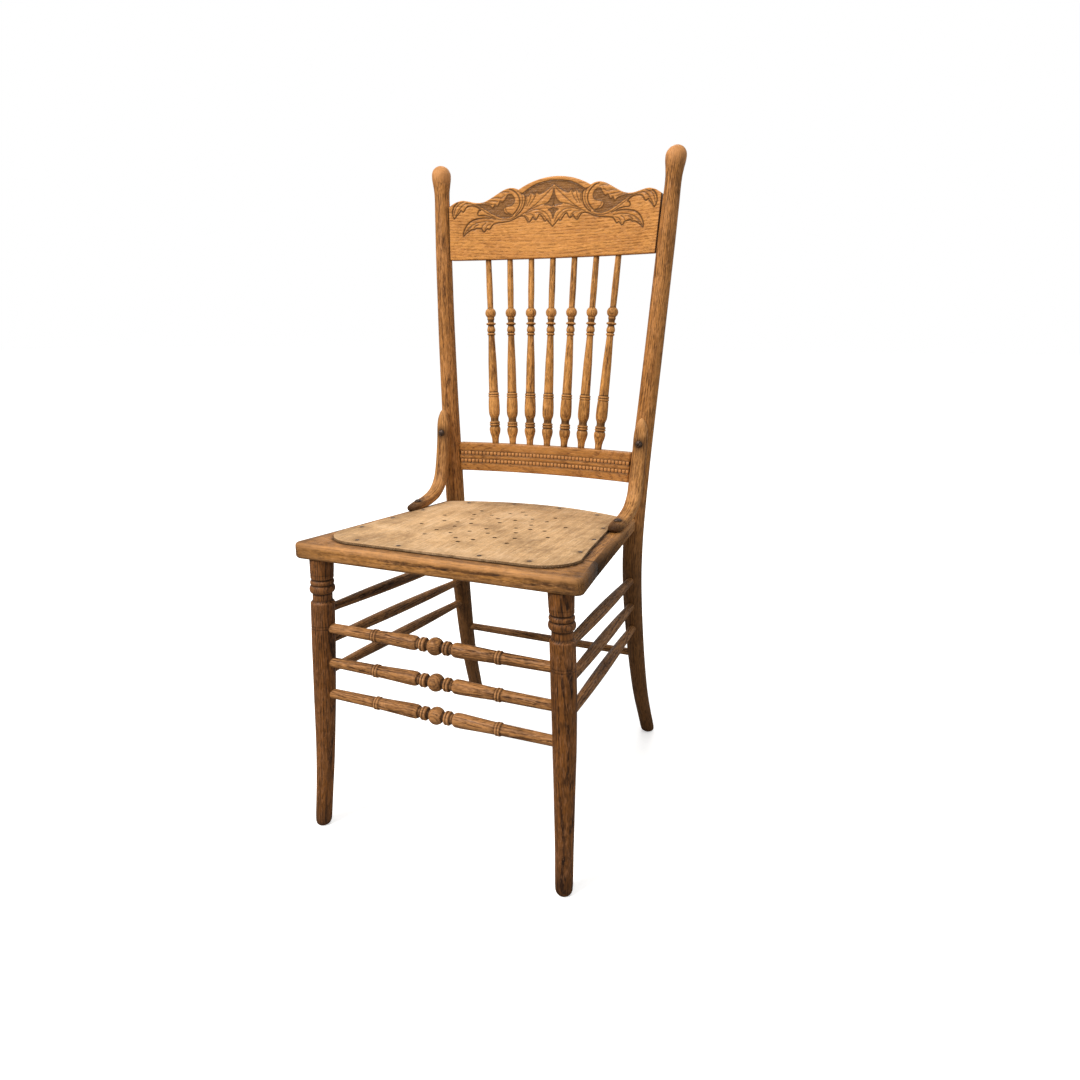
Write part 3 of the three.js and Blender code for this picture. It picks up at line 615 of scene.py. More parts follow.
# ---- Crest rail ----------------------------------------------------------------------------------------
# A bowed oak board, sawn to a scrolled top and pressed between hot rollers, which leaves leaves and scrolls
# standing between dark sunk lines. Flat tenons hold it in the posts.

crest_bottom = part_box("crest_rail")[0][2] / MM
crest_thickness = 16
crest_shoulder = 14.4
rail_bow = 21


def bow_at(x, z):
    return rail_bow * (1 - (x / post_x(z)) ** 2)


scroll_top = smooth_through([
    (61, 109.5), (69, 112.4), (77, 112.8), (88, 109.5), (107, 99), (120, 93), (133, 91.8), (146, 94.4),
    (158, 96.2), (170, 93), (184, 84),
])


def crest_top_at(x):
    across = np.abs(x)
    arch = 126.5 - 118 + np.sqrt(np.maximum(118.0**2 - across**2, 0))
    return np.where(across < 61, arch, scroll_top(across))


# The pressed pattern, right half, in millimetres from the board's middle and its lower edge.
lower_contour = [
    (0, 49), (5, 54), (10.5, 60.5), (12, 57.8), (14.5, 58), (17, 62.5), (20.5, 67), (24, 69), (26, 64.5),
    (29.5, 60), (33, 62.5), (34.5, 66.5), (37, 61.5), (40, 58), (43.5, 57.6), (45.5, 61.5), (48.5, 65.8),
    (54, 68),
    (61, 66.2), (68, 62.8), (76, 60.2), (87, 59), (97, 58), (103, 57), (106.5, 53.5), (109, 49.5), (111, 48),
    (114, 49.8), (117, 47.5), (119, 44.3), (122, 45.5), (123.5, 49.5), (128, 50.3), (134, 51), (137, 48.5),
    (141, 49.2), (147, 45.8), (152, 42), (155.5, 38.8),
]
low_frond_back = [
    (155.5, 38.8), (156.3, 43), (154, 49), (150.5, 55), (145.5, 60.5), (138, 64.5), (128, 66.5), (118, 67),
    (108, 66),
]
sprig = [(100, 64.5), (106, 66.5), (113, 70), (122, 71.3), (130, 71), (131, 75), (128, 79), (125.5, 79.3)]
stem_under = [(125.5, 79.3), (129, 83), (134, 86), (141, 87.3), (147, 86.5), (151.5, 83.5), (153.5, 79.5)]
high_frond_front = [
    (153.5, 79.5), (155.5, 77.5), (158, 78.5), (160, 80.5), (161.5, 77), (165.5, 73.5), (171, 66.8),
]
high_frond_back = [(171, 66.8), (173.5, 71), (174.5, 77), (173, 83), (170, 88.5), (165, 92.5)]
arch_line = [(0, 120.3), (14, 119.4), (28, 116.6), (40, 111.5), (50, 105), (55, 101.5)]
scroll_outside = [
    (57, 104), (50.5, 101), (48.5, 96), (48.8, 90), (50.5, 84), (53, 79), (57, 74), (61, 70.5), (65, 68),
]
scroll_crease = [(62, 107), (56, 103), (53.5, 97), (53.3, 89), (55.5, 82), (59.5, 75.5), (65, 70)]
scroll_inside = [
    (76, 110.3), (70, 108.8), (64.5, 104.5), (60.5, 99.5), (58.3, 94), (58, 88), (60, 82), (63.5, 76.5),
    (70, 70),
]
arch_field = [
    (0, 119), (14, 118.2), (28, 115.4), (40, 110.3), (49, 104.2), (52, 101), (48.5, 99.5), (48, 97),
    (45, 99.5), (43, 98), (38.5, 105.5), (36, 101), (33, 99.5), (30, 106.5), (27, 101), (25, 99.8),
    (19, 101.8), (12, 105.8), (4, 111), (0, 114.5),
]
scroll_field = [
    (134, 89.2), (124, 84.5), (116, 79.8), (108, 74.5), (100, 70.3), (92, 67), (84, 65), (76, 66), (70, 68.5),
    (72, 71.5), (80, 71.8), (85, 75.5), (86.5, 81), (80, 83.5), (72, 85), (68, 88.5), (66.5, 94), (69, 100),
    (74, 103), (80, 102.5), (82, 97), (88, 90.5), (92, 93.5), (97, 84.8), (101, 88.5), (104.5, 81.8),
    (109, 87),
    (118, 88.8),
]
upper_star = [(0, 110), (1.8, 100), (4.5, 93.5), (9, 87.5), (17, 83.5), (8, 82.3), (0, 79.4)]
lower_star = [(0, 78.4), (3, 77.5), (10, 75.5), (4.5, 72.5), (2.2, 68), (0, 60)]
veins = [
    [(2, 110), (8, 103.5), (18, 95), (30, 85), (44, 75), (56, 69)],
    [(12, 86), (26, 82.5), (42, 76)],
    [(29.5, 104), (33, 94), (41, 84)],
    [(38.3, 103), (40, 93), (45.5, 83)],
    [(46.5, 98), (45.5, 91), (48, 84)],
    [(3, 56), (7, 65), (14, 72), (24, 76.5), (34, 76.5), (48, 71.5)],
    [(12, 62), (17, 68), (24, 72), (31, 72)],
    [(30, 62), (32, 67), (38, 70.5), (46, 70)],
    [(42, 60), (44, 65), (50, 68.5)],
    [(66, 66), (76, 62.8), (87, 62.3), (98, 65), (110, 71.5), (122, 79.5), (132, 86.5), (142, 90.3),
     (152, 90.8)],
    [(104, 60.5), (115, 62), (128, 60.5), (139, 57), (148, 50.5), (154, 42)],
    [(108, 57), (114, 55.5), (118.5, 48)],
    [(117, 58.5), (122.5, 55), (124.5, 50.5)],
    [(130, 57), (136, 53.5), (138, 50)],
    [(141, 54.5), (146, 50), (148.5, 47)],
    [(148, 92), (156, 88.5), (162, 82.5), (169, 71)],
    [(154, 94), (163, 90), (169, 83.5), (171.5, 74)],
    [(76, 72.5), (81, 76), (82.5, 80.5)],
    [(92, 106.5), (84, 107.3), (77, 106)],
    [(106, 98), (97, 98.5), (90, 97.5), (84, 101)],
    [(112, 94), (103, 93.5), (96, 92)],
    [(124, 91), (114, 91), (106, 88)],
]


def softened(line):
    """Rounds the corners of a line a little, as a cutter would, and keeps its two ends."""
    rounded = [line[0]]
    for start, end in zip(line, line[1:]):
        start, end = np.array(start), np.array(end)
        rounded += [tuple(start * 0.8 + end * 0.2), tuple(start * 0.2 + end * 0.8)]
    return rounded + [line[-1]]


def distance_to(line, x, h):
    """How far each point (x, h) is from a line of straight stretches."""
    nearest = np.full(x.shape, 1e9)
    for (x0, h0), (x1, h1) in zip(line, line[1:]):
        run, rise = x1 - x0, h1 - h0
        share = np.clip(((x - x0) * run + (h - h0) * rise) / (run * run + rise * rise + 1e-9), 0, 1)
        nearest = np.minimum(nearest, np.hypot(x - x0 - share * run, h - h0 - share * rise))
    return nearest


def inside(outline, x, h):
    """True where a point lies inside a closed outline."""
    within = np.zeros(x.shape, dtype=bool)
    for (x0, h0), (x1, h1) in zip(outline, outline[1:] + outline[:1]):
        if h0 == h1:
            continue
        crosses = ((h0 > h) != (h1 > h)) & (x < (x1 - x0) * (h - h0) / (h1 - h0) + x0)
        within ^= crosses
    return within


def pressed_pattern(x, h):
    """Depth of the pressing below the face, in millimetres, and how dark the stain lies in it."""
    across = np.abs(x)
    contours = [
        lower_contour, low_frond_back, sprig, stem_under, high_frond_front, high_frond_back, arch_line,
        scroll_outside, scroll_inside,
    ]
    fields = [arch_field, scroll_field, upper_star, lower_star]
    contours = [softened(line) for line in contours]
    fields = [softened(line + line[:1]) for line in fields]
    creases = [softened(line) for line in veins + [scroll_crease]]

    to_contour = np.minimum.reduce([distance_to(line, across, h) for line in contours])
    to_crease = np.minimum.reduce([distance_to(line, across, h) for line in creases])
    fronds = low_frond_back[1:] + sprig + stem_under[1:] + high_frond_front[1:] + high_frond_back[1:]
    above_board = [(165, 140), (0, 140)]
    ornament = inside(lower_contour + fronds + above_board, across, h)
    depth = 1.3 * np.exp(-((to_contour / 1.0) ** 2))
    depth = np.maximum(depth, 0.9 * np.exp(-((to_crease / 0.8) ** 2)))
    stain = 0.98 * np.exp(-((to_contour / 1.15) ** 2))
    stain = np.maximum(stain, 0.8 * np.exp(-((to_crease / 0.9) ** 2)))
    stipple = np.random.default_rng(12).random(x.shape)
    to_edge = np.minimum(to_contour, to_crease)
    for field in fields:
        within = inside(field, across, h)
        edge = distance_to(field, across, h)
        sunk = (1.25 - 0.45 * stipple) * (1 - np.exp(-edge / 0.5)) * within
        depth = np.maximum(depth, sunk)
        floor_stain = 0.5 + 0.22 * stipple + 0.3 * np.exp(-edge / 1.2)
        stain = np.maximum(stain, np.where(within, floor_stain, 0.9 * np.exp(-((edge / 0.8) ** 2))))
        to_edge = np.where(within, 1e9, np.minimum(to_edge, edge))
        ornament = ornament & ~within
    pillow = 0.75 * np.exp(-to_edge / 1.9)
    depth = np.where(ornament, np.maximum(depth, pillow), depth)
    return depth, stain


def bowed_board(half_length_at, columns, rows, bottom, top_at, thickness, press, edge_radius):
    """A bowed board as a closed mesh: a fine front face that can be pressed, and plain back, ends and edges.

    rows are shares of the height, from 0 at the bottom edge to 1 at the top."""
    share_across = np.linspace(-1, 1, columns)
    reach = half_length_at(bottom)
    flat_x = share_across * reach
    top = top_at(flat_x)
    grid_h = np.outer(rows, top)
    grid_x0 = np.tile(flat_x, (len(rows), 1))
    depth, stain = press(grid_x0, grid_h)
    z = bottom + grid_h
    x = share_across[None, :] * half_length_at(z)
    from_side = (1 - np.abs(share_across))[None, :] * reach + 1
    from_edge = np.minimum(np.minimum(grid_h, top[None, :] - grid_h), from_side)
    into_round = edge_radius - np.minimum(from_edge, edge_radius)
    fall = edge_radius - np.sqrt(np.clip(edge_radius**2 - into_round**2, 0, None))
    middle = post_y(z) + bow_at(x, z)
    front_y = middle - thickness / 2 + fall + depth
    back_y = middle + thickness / 2 - fall

    wide, high = columns, len(rows)
    front = np.column_stack([x.ravel(), front_y.ravel(), z.ravel()])
    back_rows = [0, high // 2, high - 1]
    back = np.column_stack([x[back_rows].ravel(), back_y[back_rows].ravel(), z[back_rows].ravel()])
    points = np.vstack([front, back])
    faces = []
    columns_here = np.arange(wide - 1)
    for row in range(high - 1):
        low = row * wide + columns_here
        faces += np.column_stack([low, low + 1, low + wide + 1, low + wide]).tolist()
    first_back = wide * high
    for row in range(len(back_rows) - 1):
        low = first_back + row * wide + columns_here
        faces += np.column_stack([low + 1, low, low + wide, low + wide + 1]).tolist()
    top_front = (high - 1) * wide + columns_here
    top_back = first_back + (len(back_rows) - 1) * wide + columns_here
    faces += np.column_stack([top_front, top_front + 1, top_back + 1, top_back]).tolist()
    low_back = first_back + columns_here
    faces += np.column_stack([columns_here + 1, columns_here, low_back, low_back + 1]).tolist()
    left_front = [row * wide for row in range(high)]
    left_back = [first_back + row * wide for row in range(len(back_rows))]
    faces.append(left_front + left_back[::-1])
    right_front = [place + wide - 1 for place in left_front]
    right_back = [place + wide - 1 for place in left_back]
    faces.append(right_front[::-1] + right_back)

    tone = np.zeros((len(points), 3))
    tone[: wide * high, 2] = stain.ravel()
    edge_wear = np.clip(1 - from_edge / 3.0, 0, 1)
    tone[: wide * high, 0] = edge_wear.ravel() * 0.7
    return points, faces, tone


def board_grain(points, seed, pith):
    """A board's grain runs along its length, across the chair."""
    turned_round = np.column_stack([points[:, 2] - points[:, 2].min(), points[:, 1], points[:, 0]])
    return cut_from_log(turned_round, seed, pith)


crest_oak = oak_finish(
    "crest_oak", (0.640, 0.282, 0.064), (0.430, 0.165, 0.033), wear_and_highlight=0.35, grime_and_shade=0.3, gloss=0.36,
    ring_spacing=0.0045, pore_depth=0.6, fleck_depth=0.3,
)
crest_rows = np.concatenate([
    [0, 0.004, 0.010, 0.018], np.linspace(0.03, 0.28, 9), np.linspace(0.29, 0.982, 104),
    [0.988, 0.993, 0.997, 1.0],
])
points, faces, tone = bowed_board(
    lambda z: post_x(z) - crest_shoulder, 460, crest_rows, crest_bottom, crest_top_at, crest_thickness,
    pressed_pattern, 2.0,
)
grain = board_grain(points, 2.6, (30, -395))
against_post = np.abs(points[:, 0]) > post_x(points[:, 2]) - crest_shoulder - 1.4
tone[against_post, 2] = 0.9
add_piece("crest_board", points, faces, grain, tone, crest_oak, ["crest_rail"])


# ---- Lower back rail -----------------------------------------------------------------------------------
# A narrower bowed board with two sunk bands, each holding a row of small square pressed beads between lines.

lower_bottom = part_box("lower_back_rail")[0][2] / MM
lower_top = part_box("lower_back_rail")[1][2] / MM
lower_height = lower_top - lower_bottom
lower_shoulder = 16.6
lower_thickness = 17
band_heights = (0.36 * lower_height, 0.64 * lower_height)
band_half = 3.5


def pressed_bands(x, h):
    depth = np.zeros(x.shape)
    stain = np.zeros(x.shape)
    for middle in band_heights:
        inside_band = np.clip((band_half - np.abs(h - middle)) / 0.4 + 0.5, 0, 1)
        depth = np.maximum(depth, 1.1 * inside_band)
        stain = np.maximum(stain, 0.97 * inside_band)
        for line in (middle - band_half - 1.2, middle + band_half + 1.2):
            near = np.exp(-(((h - line) / 0.45) ** 2))
            depth = np.maximum(depth, 0.5 * near)
            stain = np.maximum(stain, 0.6 * near)
    return depth, stain


rail_oak = oak_finish(
    "rail_oak", (0.465, 0.203, 0.048), (0.310, 0.122, 0.028), wear_and_highlight=0.4, grime_and_shade=0.4, gloss=0.38,
    ring_spacing=0.004, pore_depth=0.6, fleck_depth=0.3,
)
lower_rows = np.concatenate([[0, 0.008, 0.02, 0.04], np.linspace(0.08, 0.92, 96), [0.96, 0.98, 0.992, 1.0]])
points, faces, tone = bowed_board(
    lambda z: post_x(z) - lower_shoulder, 80, lower_rows, lower_bottom,
    lambda x: np.full(np.shape(x), lower_height), lower_thickness, pressed_bands, 2.0,
)
grain = board_grain(points, 3.9, (18, -420))
add_piece("lower_rail_board", points, faces, grain, tone, rail_oak, ["lower_back_rail"])


def bead_template(width, height, rise):
    """One pressed bead: a small square pillow, 5 by 5 cells, standing on its own XZ plane and facing -Y."""
    mesh = bpy.data.meshes.new("bead_template")
    build = bmesh.new()
    cells = 5
    rows = []
    for j in range(cells + 1):
        for i in range(cells + 1):
            u = 2 * i / cells - 1
            v = 2 * j / cells - 1
            lift = (1 - abs(u) ** 3) * (1 - abs(v) ** 3)
            rows.append(build.verts.new((u * width / 2 * MM, -rise * lift**0.5 * MM, v * height / 2 * MM)))
    for j in range(cells):
        for i in range(cells):
            start = j * (cells + 1) + i
            build.faces.new([rows[start], rows[start + 1], rows[start + cells + 2], rows[start + cells + 1]])
    build.to_mesh(mesh)
    build.free()
    return new_object("bead_template", mesh)


def dress(tree, geometry, finish, result):
    """Ends a geometry tree: its instances are made real and given their material."""
    real = put(tree, "GeometryNodeRealizeInstances", {0: geometry})
    dressed = put(tree, "GeometryNodeSetMaterial", {"Geometry": real.outputs[0], "Material": finish})
    tree.links.new(dressed.outputs[0], result.inputs[0])


def build_bead_row():
    """Beads side by side along X, following the bow of the rail."""
    tree, given, result = new_group(
        "bead_row",
        "GeometryNodeTree",
        [("Geometry", "NodeSocketGeometry", None), ("Bead", "NodeSocketObject", None),
         ("Count", "NodeSocketInt", 43), ("Half Length", "NodeSocketFloat", 0.14),
         ("Bow", "NodeSocketFloat", 0.02),
         ("Bow Span", "NodeSocketFloat", 0.17), ("Low", "NodeSocketVector", None),
         ("Finish", "NodeSocketMaterial", None)],
        [("Geometry", "NodeSocketGeometry")],
    )
    inputs = given.outputs
    start = put(tree, "ShaderNodeCombineXYZ", {"X": math_node(tree, "MULTIPLY", inputs["Half Length"], -1.0)})
    end = put(tree, "ShaderNodeCombineXYZ", {"X": inputs["Half Length"]})
    line = put(
        tree, "GeometryNodeMeshLine",
        {"Count": inputs["Count"], "Start Location": start.outputs[0], "Offset": end.outputs[0]},
        mode="END_POINTS",
    )
    place = put(tree, "GeometryNodeInputPosition")
    split = put(tree, "ShaderNodeSeparateXYZ", {0: place.outputs[0]})
    share = math_node(tree, "DIVIDE", split.outputs["X"], inputs["Bow Span"])
    squared = math_node(tree, "MULTIPLY", share, share)
    bow = math_node(tree, "MULTIPLY", math_node(tree, "SUBTRACT", 1.0, squared), inputs["Bow"])
    bowed = put(tree, "ShaderNodeCombineXYZ", {"Y": bow})
    offset = put(tree, "ShaderNodeVectorMath", {0: bowed.outputs[0], 1: inputs["Low"]}, operation="ADD")
    moved = put(tree, "GeometryNodeSetPosition", {"Geometry": line.outputs[0], "Offset": offset.outputs[0]})
    bead = put(tree, "GeometryNodeObjectInfo", {"Object": inputs["Bead"]})
    steep = math_node(tree, "MULTIPLY", math_node(tree, "DIVIDE", share, inputs["Bow Span"]), -2.0)
    steep = math_node(tree, "MULTIPLY", steep, inputs["Bow"])
    turn = put(tree, "ShaderNodeCombineXYZ", {"Z": math_node(tree, "ARCTANGENT", steep)})
    row = put(
        tree, "GeometryNodeInstanceOnPoints",
        {"Points": moved.outputs[0], "Instance": bead.outputs["Geometry"], "Rotation": turn.outputs[0]},
    )
    dress(tree, row.outputs[0], inputs["Finish"], result)
    return tree


def grown(name, tree, base_mesh, values):
    """Runs a geometry tree on a mesh and returns the result as a plain object with no modifier."""
    holder = new_object(f"{name}_holder", base_mesh)
    modifier = holder.modifiers.new("grow", "NODES")
    modifier.node_group = tree
    for item in tree.interface.items_tree:
        if item.item_type == "SOCKET" and item.in_out == "INPUT" and item.name in values:
            modifier[item.identifier] = values[item.name]
    evaluated = holder.evaluated_get(bpy.context.evaluated_depsgraph_get())
    mesh = bpy.data.meshes.new_from_object(evaluated)
    mesh.name = name
    bpy.data.objects.remove(holder)
    return new_object(name, mesh)


def points_of(mesh):
    """A mesh's points in the frame, in millimetres."""
    flat = np.zeros(len(mesh.vertices) * 3)
    mesh.vertices.foreach_get("co", flat)
    return flat.reshape(-1, 3) / MM


bead_row = build_bead_row()
bead = bead_template(5.5, 2 * band_half - 1.2, 1.1)
bead_count = 47
for number, middle in enumerate(band_heights):
    z = lower_bottom + middle
    face_y = float(post_y(z)) - lower_thickness / 2 + 1.1 + front_edge
    row = grown(
        f"bead_row_{number + 1}", bead_row, bpy.data.meshes.new("empty"),
        {"Bead": bead, "Count": bead_count, "Half Length": 0.1535, "Bow": rail_bow * MM,
         "Bow Span": float(post_x(z)) * MM, "Low": (0, face_y * MM, z * MM), "Finish": rail_oak},
    )
    points = points_of(row.data)
    write_tones(row.data, board_grain(points, 3.9, (18, -420)), np.tile((1.6, 0.0, 0.0), (len(points), 1)))
    row.data.polygons.foreach_set("use_smooth", [True] * len(row.data.polygons))
    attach(row, "root")
bpy.data.objects.remove(bead)


# ---- Spindles ------------------------------------------------------------------------------------------
# Seven turned spindles fan out from the lower rail to the crest: a bulb and rings at the foot, a barrel,
# a long taper, and a disc and ball two thirds of the way up, with a round tenon at both ends.

spindle_oak = oak_finish(
    "spindle_oak", (0.640, 0.300, 0.076), (0.290, 0.118, 0.029), wear_and_highlight=0.5, grime_and_shade=0.75, gloss=0.36
)
spindle_tenon = 14
spindle_core = [
    (0, 5.7), (8, 6.1), (13, 7.1), (18, 8.7), (23, 9.6), (26, 9.6), (29, 8.9), (30.2, 7.7), (38.6, 7.5),
    (39.6, 7), (43, 6.9), (46, 7.4), (48, 8.3), (51, 9.3), (56, 9.8), (66, 9.8), (80, 9.1), (80.8, 8.1),
    (89, 8), (90, 8), (140, 7.2), (185, 5.4), (190.4, 5.3), (191.6, 6.3), (194, 7.1), (197, 6.9), (200, 5.9),
    (202.4, 5.1), (208, 5.2), (211, 5.4), (214, 6.4), (215, 6), (231.6, 5), (262, 5.4),
]
spindle_beads = [
    (32.6, 1.9, 9.3), (36.6, 1.9, 9.1), (82.8, 1.9, 9.6), (86.8, 1.9, 9.4), (188.2, 1.9, 7.1),
    (205.4, 2, 8.4),
]
spindle_ball = (223.4, 9.0, 9.2)
spindle_sides = 24
dark_necks = [(30, 1.5), (34.6, 1), (42, 4.5), (84.8, 0.9), (89.5, 1.2), (190.6, 1), (202, 2.4), (210.5, 3.4)]
spacing_low = 32
spacing_high = 38.7
for number in range(7):
    place = number - 3
    low_x = place * spacing_low
    high_x = place * spacing_high
    low = Vector((low_x, float(post_y(lower_top) + bow_at(low_x, lower_top)), lower_top))
    high = Vector((high_x, float(post_y(crest_bottom) + bow_at(high_x, crest_bottom)), crest_bottom))
    visible = (high - low).length
    core = [(-spindle_tenon, 4.7)] + spindle_core + [(visible, 4.8), (visible + spindle_tenon, 4.7)]
    heights, radii = turned_profile(core, spindle_beads, [], [spindle_ball], step=0.75)
    points, faces, tone = lathe(heights, radii, spindle_sides)
    grain = cut_from_log(points, number * 1.9 + 31)
    points[:, 2] -= visible / 2
    points = laid_between(hand_worn(points, 0.2, number + 40), low, high)
    at_ends = np.clip(1 - (heights - 1) / 5, 0, 1) + np.clip(1 - (visible - 1 - heights) / 5, 0, 1)
    tone[:, 1] = np.clip(tone[:, 1] + np.repeat(at_ends, spindle_sides) * 0.8, 0, 1)
    in_necks = np.max([np.exp(-(((heights - middle) / half) ** 2)) for middle, half in dark_necks], axis=0)
    tone[:, 2] = np.repeat(in_necks, spindle_sides) * 0.72
    node = f"spindle_{number + 1}"
    add_piece(f"{node}_wood", points, faces, grain, tone, spindle_oak, [node])


# ---- Seat frame ----------------------------------------------------------------------------------------
# Four flat oak rails, doweled and glued butt to side, with a rounded nose all round the outside. The
# front rail runs the full width; the rear edge is a shallow arch. The whole seat falls a little backwards.

seat_height = 445
seat_slope = 0.0157
frame_thickness = 23
front_half_width = 217
rear_half_width = 177
side_rail_end = 368
front_rail_depth = 86
side_rail_width = 58
opening_rear = 316
nose_radius = 5
joint_radius = 0.25
front_corner = 13
rear_corner = 6
joint_gap = 0.15
joint_reach = 0.8


def on_seat(points):
    """Takes points given from the top of the seat frame, at its front edge, to the design's own place."""
    tilt = math.atan(seat_slope)
    placed = points.copy()
    placed[:, 1] = points[:, 1] * math.cos(tilt) + points[:, 2] * math.sin(tilt)
    placed[:, 2] = seat_height - points[:, 1] * math.sin(tilt) + points[:, 2] * math.cos(tilt)
    return placed


def side_edge_at(y):
    return front_half_width - (front_half_width - rear_half_width) * y / side_rail_end


def inner_edge_at(y):
    return side_edge_at(y) - side_rail_width


frame_rear_edge = smooth_through([
    (0, 386), (22, 385.5), (65, 381.6), (109, 373.8), (152, 368.6), (180, 368.4),
])


def arc(centre, radius, start_degrees, end_degrees, steps):
    angles = np.radians(np.linspace(start_degrees, end_degrees, steps + 1))
    return [(centre[0] + radius * math.cos(a), centre[1] + radius * math.sin(a)) for a in angles]


def inset_loop(loop, distances):
    """Moves each edge of a closed loop inwards by its own distance and returns the new corners."""
    loop = np.asarray(loop, dtype=float)
    ahead = np.roll(loop, -1, axis=0) - loop
    ahead /= np.linalg.norm(ahead, axis=1)[:, None]
    inward = np.column_stack([-ahead[:, 1], ahead[:, 0]])
    before = np.roll(inward, 1, axis=0)
    near = np.asarray(distances, dtype=float)
    near_before = np.roll(near, 1)
    cross = before[:, 0] * inward[:, 1] - before[:, 1] * inward[:, 0]
    moved = loop.copy()
    for i in range(len(loop)):
        if abs(cross[i]) < 0.02:
            moved[i] += (inward[i] + before[i]) / 2 * (near[i] + near_before[i]) / 2
        else:
            moved[i, 0] += (near_before[i] * inward[i, 1] - near[i] * before[i, 1]) / cross[i]
            moved[i, 1] += (near[i] * before[i, 0] - near_before[i] * inward[i, 0]) / cross[i]
    return moved


def filled(loop, spacing, extra=()):
    """Triangles inside a loop, with a grid of points for small changes of tone. Returns points and faces."""
    outline = [tuple(point) for point in loop]
    low = np.min(loop, axis=0)
    high = np.max(loop, axis=0)
    grid_x, grid_y = np.meshgrid(np.arange(low[0], high[0], spacing), np.arange(low[1], high[1], spacing))
    grid_x, grid_y = grid_x.ravel(), grid_y.ravel()
    keep = distance_to(outline + outline[:1], grid_x, grid_y) > spacing * 0.45
    keep &= inside(outline, grid_x, grid_y)
    inner = list(zip(grid_x[keep], grid_y[keep])) + list(extra)
    count = len(outline)
    edges = [(i, (i + 1) % count) for i in range(count)]
    corners = [Vector(point) for point in outline + inner]
    coords, _, faces, *_ = geometry.delaunay_2d_cdt(corners, edges, [], 1, 1e-6)
    return np.array([tuple(point) for point in coords]), [list(face) for face in faces]


def plate(loop, radii, bottom, top, spacing, extra=(), steps=4, shoulder=3.0):
    """A flat board with each edge rounded by its own radius: points, faces and how pale each point is made,
    for edge rubbing and for a painted highlight along the top rounding.
    """
    radii = np.asarray(radii, dtype=float)
    turns = np.linspace(0, math.pi / 2, steps + 1)
    round_height = radii.max()
    face_gap = (top - bottom - 2 * round_height) * 0.2
    # The last number of each level makes the wood pale: edge wear on the roundings, and on the top rounding
    # also a painted highlight along the arris.
    low_round = [(radii * (1 - math.sin(a)), bottom + (1 - math.cos(a)) * round_height, 0.4) for a in turns]
    face_ends = (bottom + round_height + face_gap, top - round_height - face_gap)
    face = [(radii * 0, level, 0.05) for level in face_ends]
    high_round = [(radii * (1 - math.cos(a)), top - (1 - math.sin(a)) * round_height, 1.0) for a in turns]
    levels = low_round + face + high_round + [(radii + shoulder, top, 0.0)]
    rings = [
        np.column_stack([inset_loop(loop, inset), np.full(len(loop), level)]) for inset, level, _ in levels
    ]
    count = len(loop)
    faces = skin(len(rings), count)[:-2]
    points = np.vstack(rings)
    edge = np.repeat([edge_wear_and_highlight for _, _, edge_wear_and_highlight in levels], count)

    top_points, top_faces = filled(rings[-1][:, :2], spacing, extra)
    first = (len(rings) - 1) * count
    new_index = np.concatenate([first + np.arange(count), len(points) + np.arange(len(top_points) - count)])
    faces += [[int(new_index[i]) for i in face] for face in top_faces]
    added = np.column_stack([top_points[count:], np.full(len(top_points) - count, top)])
    points = np.vstack([points, added])
    edge = np.concatenate([edge, np.zeros(len(added))])
    _, bottom_faces = filled(rings[0][:, :2], 1e4)
    faces += [[int(i) for i in face[::-1]] for face in bottom_faces]
    return points, faces, edge


panel_front = 23
panel_side = 190
panel_corner = 56
panel_rear_edge = smooth_through([
    (0, 384), (16, 383.6), (48, 380.4), (79, 374.1), (111, 364.6), (140, 353.5),
])
panel_half = (
    arc((panel_side - panel_corner, panel_front + panel_corner), panel_corner, -90, -7, 20)
    + [(180.8, 130), (174, 190), (166.6, 255)]
    + [(157.5, 334), (156.6, 340.5), (153.5, 346), (148.5, 350), (140, 353.5)]
    + [(x, float(panel_rear_edge(x))) for x in np.linspace(126, 9, 10)]
)
panel_outline = panel_half + [(-x, y) for x, y in reversed(panel_half)]

frame_oak = oak_finish(
    "frame_oak", (0.440, 0.196, 0.047), (0.105, 0.040, 0.010), wear_and_highlight=1.0, grime_and_shade=0.6, gloss=0.42,
    grain_lift=0.6, pore_tone=0.2, ring_depth=0.9,
)


